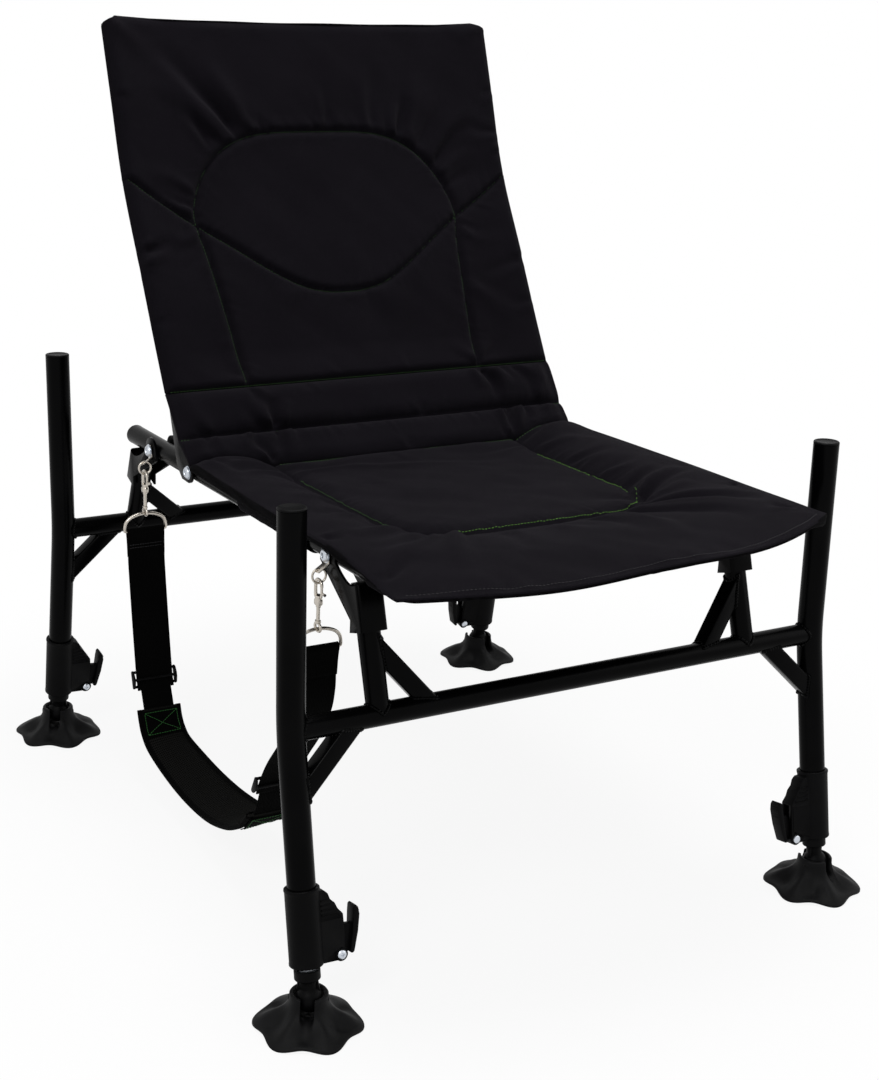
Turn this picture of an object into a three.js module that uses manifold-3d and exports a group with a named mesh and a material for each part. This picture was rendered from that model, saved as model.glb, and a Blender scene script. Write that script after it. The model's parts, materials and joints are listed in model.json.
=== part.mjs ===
// A folding carp fishing chair: two welded leg frames with telescopic legs and mud feet, a quilted seat and
// backrest on bent tubes, and a carrying strap. Sizes are in millimetres and angles in degrees.
// +Z is up, the front of the chair faces -Y, and left means -X, as seen from the front.
// The pieces are placed from the crossbars' height and from midway between them. The finished chair is
// then moved so that it stands at z = 0 with the middle of its outer size at x = y = 0.
import * as THREE from "three";
import { mergeVertices } from "three/addons/utils/BufferGeometryUtils.js";
import Module from "manifold-3d";

const wasm = await Module();
wasm.setup();

// Driving dimensions

const fit = { gap: 0.3, overrun: 2 };
const sheet = { hinge: 3, bracket: 3, tab: 1.5 };

const legTube = { radius: 15, wall: 1.5, x: 341, barY: 348, rise: 232, drop: 205, bendReach: 26 };
const bar = { radius: 12.5, wall: 1.5 };
const brace = { side: 20, wall: 1.5, onPost: 60, onBar: 62, onLeg: 72, onBarOut: 72 };

const frontFrame = {
  side: -1, riseLean: -2.1, dropLean: 11.45, postLean: 18.7,
  pivotY: 253, sleeveTop: 137, sleeve: 50, tabLean: 8,
};
const rearFrame = {
  side: 1, riseLean: 2.5, dropLean: 8.1, postLean: 20,
  pivotY: 250, sleeveTop: 110, sleeve: 42, tabLean: 25,
};

const rail = {
  x: 240.7, height: 136, slope: 2.36, rearEnd: 342,
  straightTo: 350, cornerX: 203, cornerY: 392, bowY: 436,
};
// Heights over the rail, or under it for the hinge plate's rear corner.
const overRail = {
  hingeDrop: 6, roll: 40, low: 89, hingeTop: 100,
  tubeBend: 312, mid: 324, tubeTop: 505, top: 519,
};
const bracket = { earRadius: 17, notchWidth: 22, innerFoot: 14 };
const bolt = { radius: 4, headRadius: 7.5, headHeight: 4.5, nutRadius: 7, nutHeight: 6, tail: 2 };

const collar = { radius: 18, top: 160, length: 83, lift: 4, housingWidth: 18, slotWidth: 8, split: 2 };
const lever = {
  pinOut: 36, pinDown: 78, cam: 7, blade: 16,
  bladeThick: 4.5, pinRadius: 3, pinHead: 5, headThick: 1.5,
};
const innerLeg = { radius: 11.5, wall: 1.5, length: 222, bush: 12, bushGap: 0.5 };
const ball = {
  drop: 277.4, radius: 14.5, neckRadius: 9, ferruleRadius: 13.2,
  ferrule: 11, ferruleBelow: 21, pinRadius: 2.8,
};
const foot = {
  radius: 55, wave: 3, rimLift: 3, rimThick: 3, collarRadius: 21,
  bore: 16.5, height: 40, floor: 16, ballHeight: 32.5, slot: 18,
};
const cap = { plug: 14, rim: 2.4 };

const hingePlate = { boltY: 126, front: 13, heel: 19, rearY: 161, lean: 23.1, tip: 10.5 };
hingePlate.rearZ = rail.height - overRail.hingeDrop;
hingePlate.topZ = rail.height + overRail.hingeTop;
const stop = { radius: 8.5, height: 9, webRise: 7 };
const backTube = { radius: 12.5, wall: 1.5, startY: 151.5, bendY: 314, lean: 20.9, corner: 60 };
backTube.startZ = rail.height + overRail.roll;
backTube.bendZ = rail.height + overRail.tubeBend;
backTube.topZ = rail.height + overRail.tubeTop;

const seatEdge = {
  halfWidth: 276, rearTaper: 4, frontY: 486, cornerY: 430,
  railTop: 13.2, wallTop: 26, frontTop: 20,
};
const seatSeam = { y: 65, level: 10.7, outerRise: 8.5, outerBack: 16, innerX: 167 };
const seatPanel = {
  halfWidth: 174, frontY: 273, cornerRadius: 80, level: 5,
  crown: 9, bolsterCrown: 13, reach: 26, bottom: -9,
};
const backPad = { halfWidth: 275, thick: 12.2, sideThick: 27, crown: 13, reach: 24, corner: 18 };
backPad.topZ = rail.height + overRail.top;
const backLine = { rollY: 111, lowY: 150, midY: 289, topY: 364 };
backLine.rollZ = rail.height + overRail.roll;
backLine.lowZ = rail.height + overRail.low;
backLine.midZ = rail.height + overRail.mid;
backLine.topZ = rail.height + overRail.top;

const strap = { x: 266.6, webbing: 50, lowWebbing: 40, thick: 3.2, padWidth: 54, padThick: 7 };
const ring = { radius: 8, wire: 1.3, below: 21.5 };
const snap = { wire: 1.6, loopWidth: 5.6, loopLength: 20, stem: 3.4, barrel: 5.4, eye: 4.6, length: 50 };
const dRing = { inner: 51.5, wire: 2, height: 22, below: 79 };
const slide = { width: 60, length: 22, wall: 3 };

const radians = THREE.MathUtils.degToRad;
const sides = { tube: 12, bore: 10, small: 6, wire: 5 };

const materials = {
  paint: new THREE.MeshStandardMaterial({ color: 0x1a1a1c, roughness: 0.42, metalness: 0.3 }),
  plastic: new THREE.MeshStandardMaterial({ color: 0x202022, roughness: 0.62, metalness: 0 }),
  fabric: new THREE.MeshStandardMaterial({ color: 0x1c1a1e, roughness: 0.92, metalness: 0 }),
  webbing: new THREE.MeshStandardMaterial({ color: 0x141415, roughness: 0.88, metalness: 0 }),
  zinc: new THREE.MeshStandardMaterial({ color: 0xc4c8cc, roughness: 0.3, metalness: 1 }),
  nickel: new THREE.MeshStandardMaterial({ color: 0xc9c4ba, roughness: 0.25, metalness: 1 }),
};

// Shapes and joins

const point = (x, y, z) => new THREE.Vector3(x, y, z);

function solid(geometry) {
  const bare = new THREE.BufferGeometry().setAttribute("position", geometry.getAttribute("position"));
  if (geometry.index) bare.setIndex(geometry.index);
  const merged = mergeVertices(bare, 1e-4);
  return new wasm.Manifold(
    new wasm.Mesh({
      numProp: 3,
      vertProperties: new Float32Array(merged.attributes.position.array),
      triVerts: new Uint32Array(merged.index.array),
    }),
  );
}

function geometryOf(body) {
  const mesh = body.getMesh();
  return new THREE.BufferGeometry()
    .setAttribute("position", new THREE.BufferAttribute(mesh.vertProperties, mesh.numProp))
    .setIndex(new THREE.BufferAttribute(mesh.triVerts, 1));
}

const join = (geometries) => geometries.map(solid).reduce((a, b) => a.add(b));
const build = (outer, holes = []) => geometryOf(holes.length ? join(outer).subtract(join(holes)) : join(outer));

// A round bar between two points, which may taper.
function rod(from, to, radius, count = sides.tube, endRadius = radius) {
  const along = to.clone().sub(from);
  const turn = new THREE.Quaternion().setFromUnitVectors(point(0, 1, 0), along.clone().normalize());
  const middle = from.clone().add(to).multiplyScalar(0.5);
  return new THREE.CylinderGeometry(endRadius, radius, along.length(), count)
    .applyQuaternion(turn)
    .translate(middle.x, middle.y, middle.z);
}

// A hole for a round bar. Its flats, not its corners, stand at the radius.
const bore = (from, to, radius, count = sides.bore) => rod(from, to, radius / Math.cos(Math.PI / count), count);

// A path from point to point, with one section of an extrusion at each point.
class Route extends THREE.Curve {
  constructor(points) {
    super();
    this.points = points;
  }

  getPoint(t) {
    const at = t * (this.points.length - 1);
    const k = Math.min(Math.floor(at), this.points.length - 2);
    return this.points[k].clone().lerp(this.points[k + 1], at - k);
  }

  getTangent(t) {
    const last = this.points.length - 1;
    const k = Math.round(t * last);
    const step = (a, b) => this.points[b].clone().sub(this.points[a]).normalize();
    const before = step(Math.max(k - 1, 0), Math.max(k, 1));
    return before.add(step(Math.min(k, last - 1), Math.min(k + 1, last))).normalize();
  }

  getUtoTmapping(u) {
    return u;
  }
}

// A round bar from point to point.
function pipe(points, radius, count = sides.tube) {
  const section = new THREE.Shape().absarc(0, 0, radius, 0, 2 * Math.PI);
  const extrudePath = new Route(points);
  return new THREE.ExtrudeGeometry(section, { steps: points.length - 1, curveSegments: count / 2, extrudePath });
}

// Points round a bend from one point to another, with a corner between them.
const bend = (from, corner, to, steps) => new THREE.QuadraticBezierCurve3(from, corner, to).getPoints(steps);
const boreShare = () => Math.cos(Math.PI / sides.bore);
const farther = (from, to, extra) => to.clone().add(to.clone().sub(from).setLength(extra));

// A flat sheet whose outline is drawn in y and z, from x to x + thickness.
function plateYZ(shape, x, thickness, curveSegments = 8) {
  const turn = new THREE.Matrix4().makeBasis(point(0, 1, 0), point(0, 0, 1), point(1, 0, 0));
  return new THREE.ExtrudeGeometry(shape, { depth: thickness, bevelEnabled: false, curveSegments })
    .applyMatrix4(turn)
    .translate(x, 0, 0);
}

const outline = (points) => new THREE.Shape(points.map(([a, b]) => new THREE.Vector2(a, b)));
const box = (x, y, z, cx, cy, cz) => new THREE.BoxGeometry(x, y, z).translate(cx, cy, cz);
const lathe = (profile, count) =>
  new THREE.LatheGeometry(profile.map(([r, z]) => new THREE.Vector2(r, z)), count).rotateX(Math.PI / 2);
const mix = (a, b, share) => a + (b - a) * share;
const smooth = (value, low, high) => THREE.MathUtils.smoothstep(value, low, high);

// A closed sheet with a front and a back surface over one grid. Each surface gives a point for a share
// across, from -1 to 1, and a share along. Across, then along, then out of the front is right handed.
function quilt(across, along, front, back) {
  const width = across.length;
  const places = [front, back].flatMap((surface) => along.flatMap((t) => across.map((s) => surface(s, t))));
  const backStart = width * along.length;
  const index = [];
  const quad = (a, b, c, d) => index.push(a, b, c, a, c, d);
  for (let j = 0; j + 1 < along.length; j++)
    for (let i = 0; i + 1 < width; i++) {
      const a = j * width + i;
      quad(a, a + 1, a + 1 + width, a + width);
      quad(a + backStart, a + width + backStart, a + 1 + width + backStart, a + 1 + backStart);
    }
  const rim = [];
  for (let i = 0; i < width; i++) rim.push(i);
  for (let j = 1; j < along.length; j++) rim.push(j * width + width - 1);
  for (let i = width - 2; i >= 0; i--) rim.push((along.length - 1) * width + i);
  for (let j = along.length - 2; j > 0; j--) rim.push(j * width);
  rim.forEach((a, k) => {
    const b = rim[(k + 1) % rim.length];
    quad(a, a + backStart, b + backStart, b);
  });
  const position = new THREE.Float32BufferAttribute(places.flatMap((p) => p.toArray()), 3);
  return new THREE.BufferGeometry().setAttribute("position", position).setIndex(index);
}

// The distance from a point to the nearest of some polylines, in a plane.
function seamDistance(a, b, seams) {
  let nearest = Infinity;
  for (const seam of seams)
    for (let k = 0; k + 1 < seam.length; k++) {
      const [x0, z0] = seam[k];
      const [dx, dz] = [seam[k + 1][0] - x0, seam[k + 1][1] - z0];
      const share = THREE.MathUtils.clamp(((a - x0) * dx + (b - z0) * dz) / (dx * dx + dz * dz), 0, 1);
      nearest = Math.min(nearest, Math.hypot(a - x0 - share * dx, b - z0 - share * dz));
    }
  return nearest;
}

const puff = (distance, crown, reach) => crown * (1 - Math.exp(-distance / reach));

const chair = new THREE.Group();
function piece(name, geometry, material) {
  const mesh = new THREE.Mesh(geometry, material);
  mesh.name = name;
  chair.add(mesh);
}
const sideName = (side) => (side < 0 ? "left" : "right");
const frameName = (frame) => (frame.side < 0 ? "front" : "rear");

// Places that several pieces share

const railZ = (y) => rail.height - y * Math.tan(radians(rail.slope));
const pivot = (frame) => point(0, frame.side * frame.pivotY, railZ(frame.side * frame.pivotY));
const lean = (frame, angle, length) =>
  point(0, frame.side * Math.sin(radians(angle)) * length, Math.cos(radians(angle)) * length);
const barEnd = (frame, side) => point(side * legTube.x, frame.side * legTube.barY, 0);
const legTop = (frame, side) => barEnd(frame, side).add(lean(frame, frame.riseLean, legTube.rise));
// A point on a leg's axis, some way down from the crossbar.
function onLeg(frame, side, down) {
  const drop = lean(frame, frame.dropLean, down);
  return barEnd(frame, side).add(point(0, drop.y, -drop.z));
}
const onPost = (frame, side, up) =>
  point(side * rail.x, frame.side * legTube.barY, 0).sub(point(0, lean(frame, frame.postLean, up).y, 0))
    .add(point(0, 0, lean(frame, frame.postLean, up).z));
const ballDown = (frame) => ball.drop / Math.cos(radians(frame.dropLean));
const ferruleTop = (frame) => ballDown(frame) - ball.ferruleBelow - ball.ferrule;
// Each collar seats this far down its leg. The front left one is set a little higher.
const collarTop = (frame, side) =>
  ferruleTop(frame) - collar.length - fit.gap - (frame.side < 0 && side < 0 ? collar.lift : 0);

// Leg frames

function squareBar(from, to, size) {
  const along = to.clone().sub(from);
  const across = point(0, 1, 0).projectOnPlane(along).normalize();
  const third = along.clone().normalize().cross(across);
  const place = new THREE.Matrix4()
    .makeBasis(across, third, along.clone().normalize())
    .setPosition(from.clone().add(to).multiplyScalar(0.5));
  return new THREE.BoxGeometry(size, size, along.length()).applyMatrix4(place);
}

function legPoints(frame, side, extra) {
  const joint = barEnd(frame, side);
  const top = legTop(frame, side);
  const end = onLeg(frame, side, legTube.drop);
  const upper = joint.clone().lerp(top, legTube.bendReach / legTube.rise);
  const lower = joint.clone().lerp(end, legTube.bendReach / legTube.drop);
  const ends = extra ? [farther(joint, top, extra), farther(joint, end, extra)] : [top, end];
  return [ends[0], ...bend(upper, joint, lower, 3), ends[1]];
}

// A post ends just under the rail that it bears on.
function postTop(frame) {
  const share = Math.sin(radians(frame.postLean));
  const slope = Math.tan(radians(rail.slope)) * frame.side;
  const underRail = bar.radius / Math.cos(radians(rail.slope)) + fit.gap;
  const atBar = railZ(frame.side * legTube.barY) - underRail;
  const edge = bar.radius * Math.abs(share) + bar.radius * Math.tan(radians(rail.slope));
  return (atBar - edge) / (Math.cos(radians(frame.postLean)) - slope * share);
}

function legFrame(frame) {
  const outer = [];
  const holes = [];
  const ends = [-1, 1].map((side) => barEnd(frame, side));
  outer.push(rod(ends[0], ends[1], bar.radius));
  holes.push(rod(ends[0], ends[1], bar.radius - bar.wall, sides.bore));
  const inside = brace.side - 2 * brace.wall;
  for (const side of [-1, 1]) {
    outer.push(pipe(legPoints(frame, side, 0), legTube.radius));
    holes.push(pipe(legPoints(frame, side, fit.overrun), (legTube.radius - legTube.wall) / boreShare(), sides.bore));
    const foot = onPost(frame, side, 0);
    const head = onPost(frame, side, postTop(frame));
    outer.push(rod(foot, head, bar.radius));
    holes.push(rod(foot, farther(foot, head, fit.overrun), bar.radius - bar.wall, sides.bore));
    const inward = foot.clone().sub(point(side * brace.onBar, 0, 0));
    outer.push(squareBar(onPost(frame, side, brace.onPost), inward, brace.side));
    holes.push(squareBar(onPost(frame, side, brace.onPost), inward, inside));
    const outward = barEnd(frame, side).sub(point(side * brace.onBarOut, 0, 0));
    outer.push(squareBar(onLeg(frame, side, brace.onLeg), outward, brace.side));
    holes.push(squareBar(onLeg(frame, side, brace.onLeg), outward, inside));
  }
  return build(outer, holes);
}

// A folded sheet round a post's top, whose two cheeks reach the pivot bolt beside the rail.
function legBracket(frame, side) {
  const q = frame.side;
  const centre = pivot(frame);
  const inside = bar.radius + fit.gap;
  const outside = inside + sheet.bracket;
  const spot = (up, out) => {
    const axis = onPost(frame, side, up);
    const turn = radians(frame.postLean);
    return [axis.y + q * out * Math.cos(turn), axis.z + out * Math.sin(turn)];
  };
  const low = frame.sleeveTop - frame.sleeve;
  const ear = bracket.earRadius;
  const cheek = outline([spot(low, outside), spot(frame.sleeveTop, outside)]);
  const [notchY, notchZ] = spot(frame.sleeveTop - 2, outside - bracket.notchWidth);
  cheek.quadraticCurveTo(notchY, notchZ, centre.y + q * ear, centre.z - ear * 0.2);
  cheek.absarc(centre.y, centre.z, ear, q < 0 ? Math.PI : 0, q < 0 ? 0 : Math.PI, q < 0);
  const [footY, footZ] = spot(low, -inside);
  cheek.lineTo(centre.y - q * ear, centre.z - ear * 0.6);
  cheek.lineTo(footY, footZ + bracket.innerFoot);
  cheek.lineTo(footY, footZ);
  const web = outline([spot(low, inside), spot(low, outside), spot(frame.sleeveTop, outside), spot(frame.sleeveTop, inside)]);
  const x = side * rail.x;
  const reach = outside + fit.overrun;
  return build(
    [
      plateYZ(cheek, x - outside, sheet.bracket, 4),
      plateYZ(cheek, x + inside, sheet.bracket, 4),
      plateYZ(web, x - outside, 2 * outside),
    ],
    [
      bore(point(x - reach, centre.y, centre.z), point(x + reach, centre.y, centre.z), bolt.radius + fit.gap, sides.small),
    ],
  );
}

// A bolt across a rail, with its head outside and its nut inside.
function crossBolt(side, centre, outerFace, innerFace) {
  const at = (x) => point(side * x, centre.y, centre.z);
  return build([
    rod(at(outerFace + bolt.headHeight / 2), at(innerFace - bolt.nutHeight - bolt.tail), bolt.radius, sides.small),
    rod(at(outerFace), at(outerFace + bolt.headHeight), bolt.headRadius, sides.bore, bolt.headRadius * 0.72),
    rod(at(innerFace - bolt.nutHeight), at(innerFace), bolt.nutRadius, 6),
  ]);
}

function legCap(frame, side) {
  const top = legTop(frame, side);
  const up = top.clone().sub(barEnd(frame, side)).normalize();
  const at = (height) => top.clone().addScaledVector(up, height);
  const plug = legTube.radius - legTube.wall - fit.gap;
  return build([
    rod(at(-cap.plug), at(fit.gap + cap.rim / 2), plug, sides.bore),
    rod(at(fit.gap), at(fit.gap + cap.rim), legTube.radius, sides.tube, legTube.radius - cap.rim / 3),
  ]);
}

// Telescopic legs. Each is built upright about its own axis, with z = 0 at the crossbar, and then leaned.

function lowerPlace(frame, side) {
  const down = onLeg(frame, side, 1).sub(barEnd(frame, side));
  const up = down.clone().negate();
  const inward = point(-side, 0, 0);
  const across = up.clone().cross(inward);
  return new THREE.Matrix4().makeBasis(inward, across, up).setPosition(barEnd(frame, side));
}

// Outline of the clamp's housing: out from the leg's axis, and up from the collar's lower end.
function housingOutline() {
  const out = lever.pinOut;
  const high = collar.length;
  return outline([
    [0, 0],
    [out * 1.08, 0],
    [out * 1.153, high * 0.05],
    [out * 1.153, high * 0.434],
    [out * 1.139, high * 0.578],
    [out * 0.917, high * 0.711],
    [out * 0.583, high * 0.928],
    [0, high * 0.95],
  ]);
}

// Extrudes an outline of out and up, centred across the clamp.
function clampSlab(shape, width, lift) {
  return new THREE.ExtrudeGeometry(shape, { depth: width, bevelEnabled: false, curveSegments: 6 })
    .rotateX(Math.PI / 2)
    .translate(0, width / 2, lift);
}

function clampCollar(frame, side) {
  const top = -collarTop(frame, side);
  const low = top - collar.length;
  const step = -legTube.drop - fit.gap;
  const wide = legTube.radius + fit.gap;
  const narrow = innerLeg.radius + fit.gap;
  const at = (out, z) => point(out, 0, z);
  const pinZ = top - lever.pinDown;
  const pinReach = collar.housingWidth;
  const slotTop = low + collar.length * 0.56;
  return build(
    [
      rod(at(0, low), at(0, top), collar.radius),
      clampSlab(housingOutline(), collar.housingWidth, low),
    ],
    [
      bore(at(0, step), at(0, top + fit.overrun), wide),
      bore(at(0, low - fit.overrun), at(0, step + fit.overrun), narrow),
      bore(at(0, low - collar.radius), at(0, low), wide),
      bore(point(lever.pinOut, -pinReach, pinZ), point(lever.pinOut, pinReach, pinZ), lever.pinRadius + fit.gap, sides.small),
      box(lever.pinOut * 2, collar.slotWidth, slotTop - low + lever.pinOut, collar.radius + lever.pinOut + fit.gap, 0,
        (slotTop + low - lever.pinOut) / 2),
      box(collar.radius * 2, collar.split, collar.length * 0.5, collar.radius, 0, low + collar.length * 0.2),
    ],
  ).applyMatrix4(lowerPlace(frame, side));
}

function clampLever(frame, side) {
  const pinZ = -collarTop(frame, side) - lever.pinDown;
  const cheek = (collar.slotWidth - 2 * fit.gap) / 2;
  const out = lever.pinOut;
  const reach = lever.cam;
  const arm = outline([
    [out - reach * 0.5, pinZ],
    [out + reach * 1.7, pinZ - reach * 0.1],
    [out + reach * 2.9, pinZ + reach * 4],
    [out + reach * 1.2, pinZ + reach * 4.2],
    [out - reach * 0.4, pinZ + reach * 1.1],
  ]);
  const blade = outline([
    [out + reach * 1.6, pinZ - reach * 0.2],
    [out + reach * 1.6 + lever.bladeThick, pinZ - reach * 0.3],
    [out + reach * 2.9 + lever.bladeThick, pinZ + reach * 5.4],
    [out + reach * 3, pinZ + reach * 6.9],
    [out + reach * 2.5, pinZ + reach * 6.8],
    [out + reach * 2.2, pinZ + reach * 3],
  ]);
  const hole = lever.pinRadius + fit.gap;
  return build(
    [
      rod(point(out, -cheek, pinZ), point(out, cheek, pinZ), reach, sides.bore),
      clampSlab(arm, 2 * cheek, 0),
      clampSlab(blade, lever.blade, 0),
    ],
    [bore(point(out, -lever.blade, pinZ), point(out, lever.blade, pinZ), hole, sides.small)],
  ).applyMatrix4(lowerPlace(frame, side));
}

function leverPin(frame, side) {
  const pinZ = -collarTop(frame, side) - lever.pinDown;
  const face = collar.housingWidth / 2 + fit.gap;
  const at = (y) => point(lever.pinOut, y, pinZ);
  return build([
    rod(at(-face - lever.headThick / 2), at(face + lever.headThick / 2), lever.pinRadius, sides.small),
    rod(at(face), at(face + lever.headThick), lever.pinHead, sides.bore, lever.pinHead * 0.8),
    rod(at(-face - lever.headThick), at(-face), lever.pinHead * 0.8, sides.bore, lever.pinHead),
  ]).applyMatrix4(lowerPlace(frame, side));
}

function innerTube(frame, side) {
  const low = -ferruleTop(frame) - ball.ferrule * 0.7;
  const top = low + innerLeg.length;
  const at = (z) => point(0, 0, z);
  const inside = innerLeg.radius - innerLeg.wall;
  const bush = legTube.radius - legTube.wall - innerLeg.bushGap;
  return build(
    [rod(at(low), at(top), innerLeg.radius), rod(at(top - innerLeg.bush), at(top), bush)],
    [bore(at(low - fit.overrun), at(top + fit.overrun), inside)],
  ).applyMatrix4(lowerPlace(frame, side));
}

function ballStud(frame, side) {
  const top = -ferruleTop(frame) - 3 * fit.gap;
  const centre = -ballDown(frame);
  const lobes = 10;
  const seat = (innerLeg.radius + fit.gap) / Math.cos(Math.PI / lobes);
  const plug = innerLeg.radius - innerLeg.wall - fit.gap;
  const r = ball.radius;
  const low = top - ball.ferrule;
  const arc = [];
  const neckAngle = Math.asin(ball.neckRadius / r);
  const steps = 5;
  for (let k = 0; k <= steps; k++) {
    const angle = mix(neckAngle, Math.PI, k / steps);
    arc.push([k === steps ? 0 : r * Math.sin(angle), centre + r * Math.cos(angle)]);
  }
  const profile = [
    [0, top],
    [plug, top],
    [plug, low + ball.ferrule * 0.3 - fit.gap],
    [seat, low + ball.ferrule * 0.3 - fit.gap],
    [seat, top],
    [ball.ferruleRadius, top],
    [ball.ferruleRadius, low],
    [ball.neckRadius, low - ball.ferrule * 0.25],
    ...arc,
  ];
  const pinBore = bore(point(-2 * r, 0, centre), point(2 * r, 0, centre), ball.pinRadius + fit.gap, sides.small);
  return build([lathe(profile.reverse(), lobes)], [pinBore]).applyMatrix4(lowerPlace(frame, side));
}

// A mud foot: six wavy lobes round a socket with two slots, and the pin that the ball tilts on.
function mudFoot(frame, side) {
  const centre = onLeg(frame, side, ballDown(frame));
  const count = 24;
  const lobes = 6;
  const rings = [
    [foot.collarRadius, foot.height],
    [foot.collarRadius * 1.06, foot.height * 0.62],
    [foot.radius * 0.7, foot.height * 0.32],
    [foot.radius, foot.rimThick],
    [foot.radius * 0.995, 0],
    [foot.radius * 0.8, 0],
  ];
  const places = [];
  rings.forEach(([r, z], k) => {
    const outer = smooth(r, foot.collarRadius, foot.radius);
    const lower = k > rings.length - 3;
    for (let i = 0; i < count; i++) {
      const angle = (2 * Math.PI * i) / count;
      const wave = Math.cos(lobes * angle);
      const radius = r + foot.wave * wave * outer;
      const lift = lower && r < foot.radius * 0.9 ? 0 : (foot.rimLift * (1 - wave) * outer * outer) / 2;
      const ridge = lower ? 0 : foot.wave * wave * outer * (1 - outer) * 2.4;
      places.push(radius * Math.cos(angle), radius * Math.sin(angle), z + lift + ridge);
    }
  });
  const index = [];
  for (let k = 0; k + 1 < rings.length; k++)
    for (let i = 0; i < count; i++) {
      const [a, b] = [k * count + i, k * count + ((i + 1) % count)];
      index.push(a, a + count, b, b, a + count, b + count);
    }
  const top = places.length / 3;
  places.push(0, 0, foot.height, 0, 0, 0);
  for (let i = 0; i < count; i++) {
    const next = (i + 1) % count;
    index.push(top, i, next);
    const last = (rings.length - 1) * count;
    index.push(top + 1, last + next, last + i);
  }
  const shell = new THREE.BufferGeometry()
    .setAttribute("position", new THREE.Float32BufferAttribute(places, 3))
    .setIndex(index);
  const at = (x, z) => point(x, 0, z);
  const hollow = build(
    [shell],
    [
      bore(at(0, foot.floor), at(0, foot.height + fit.overrun), foot.bore),
      box(foot.slot, foot.collarRadius * 2.9, foot.height, 0, 0, foot.floor + foot.height / 2),
    ],
  );
  const pinEnd = mix(foot.bore, foot.collarRadius, 0.8);
  return build([hollow, rod(at(-pinEnd, foot.ballHeight), at(pinEnd, foot.ballHeight), ball.pinRadius, sides.small)])
    .translate(centre.x, centre.y, centre.z - foot.ballHeight);
}

// Seat

function seatFrame() {
  const place = (x, y) => point(x, y, railZ(y));
  const route = (extra) => {
    const straight = [-1, 1].map((side) => place(side * rail.x, -rail.straightTo));
    const bow = [-1, 1].map((side) => place(side * rail.cornerX, -rail.cornerY));
    const tangentShare = (rail.bowY - rail.cornerY) / rail.cornerX;
    const controlY = -rail.cornerY + (rail.x - rail.cornerX) * tangentShare;
    return [
      place(-rail.x, rail.rearEnd + extra),
      ...bend(straight[0], place(-rail.x, controlY), bow[0], 3).slice(0, -1),
      ...bend(bow[0], place(0, -rail.bowY), bow[1], 6),
      ...bend(bow[1], place(rail.x, controlY), straight[1], 3).slice(1),
      place(rail.x, rail.rearEnd + extra),
    ];
  };
  const outer = [pipe(route(0), bar.radius)];
  const holes = [pipe(route(fit.overrun), bar.radius - bar.wall, sides.bore)];
  const reach = bar.radius + fit.overrun;
  for (const side of [-1, 1]) {
    const y = webRear(stopTop()) + fit.gap + stop.radius;
    const stand = (z) => point(side * rail.x, y, z);
    outer.push(rod(stand(railZ(y) + bar.radius - bar.wall / 2), stand(stopTop()), stop.radius, sides.bore));
    for (const holeY of [pivot(frontFrame).y, hingePlate.boltY, pivot(rearFrame).y]) {
      const at = (x) => point(x, holeY, railZ(holeY));
      holes.push(bore(at(side * rail.x - reach), at(side * rail.x + reach), bolt.radius + fit.gap, sides.small));
    }
  }
  return build(outer, holes);
}

const seatRearHalf = () => seatEdge.halfWidth - seatEdge.rearTaper;
const seamY = (x) => seatSeam.y + seatSeam.outerBack * smooth(Math.abs(x), seatSeam.innerX, seatEdge.halfWidth);
const seamLevel = (x) =>
  seatSeam.level + seatSeam.outerRise * smooth(Math.abs(x), seatSeam.innerX, seatEdge.halfWidth * 0.82);
const frontEdgeY = (s) => -mix(seatEdge.frontY, seatEdge.cornerY, Math.abs(s) ** 3);

// Distance outside the sewn centre panel, which has two round front corners. It is negative inside.
function panelDistance(x, y) {
  const r = seatPanel.cornerRadius;
  const halfLength = (seatPanel.frontY + seatSeam.y) / 2 + r;
  const dx = Math.abs(x) - seatPanel.halfWidth + r;
  const dy = Math.abs(y - (seatSeam.y + 2 * r - seatPanel.frontY) / 2) - halfLength + r;
  return Math.hypot(Math.max(dx, 0), Math.max(dy, 0)) + Math.min(Math.max(dx, dy), 0) - r;
}

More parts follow.
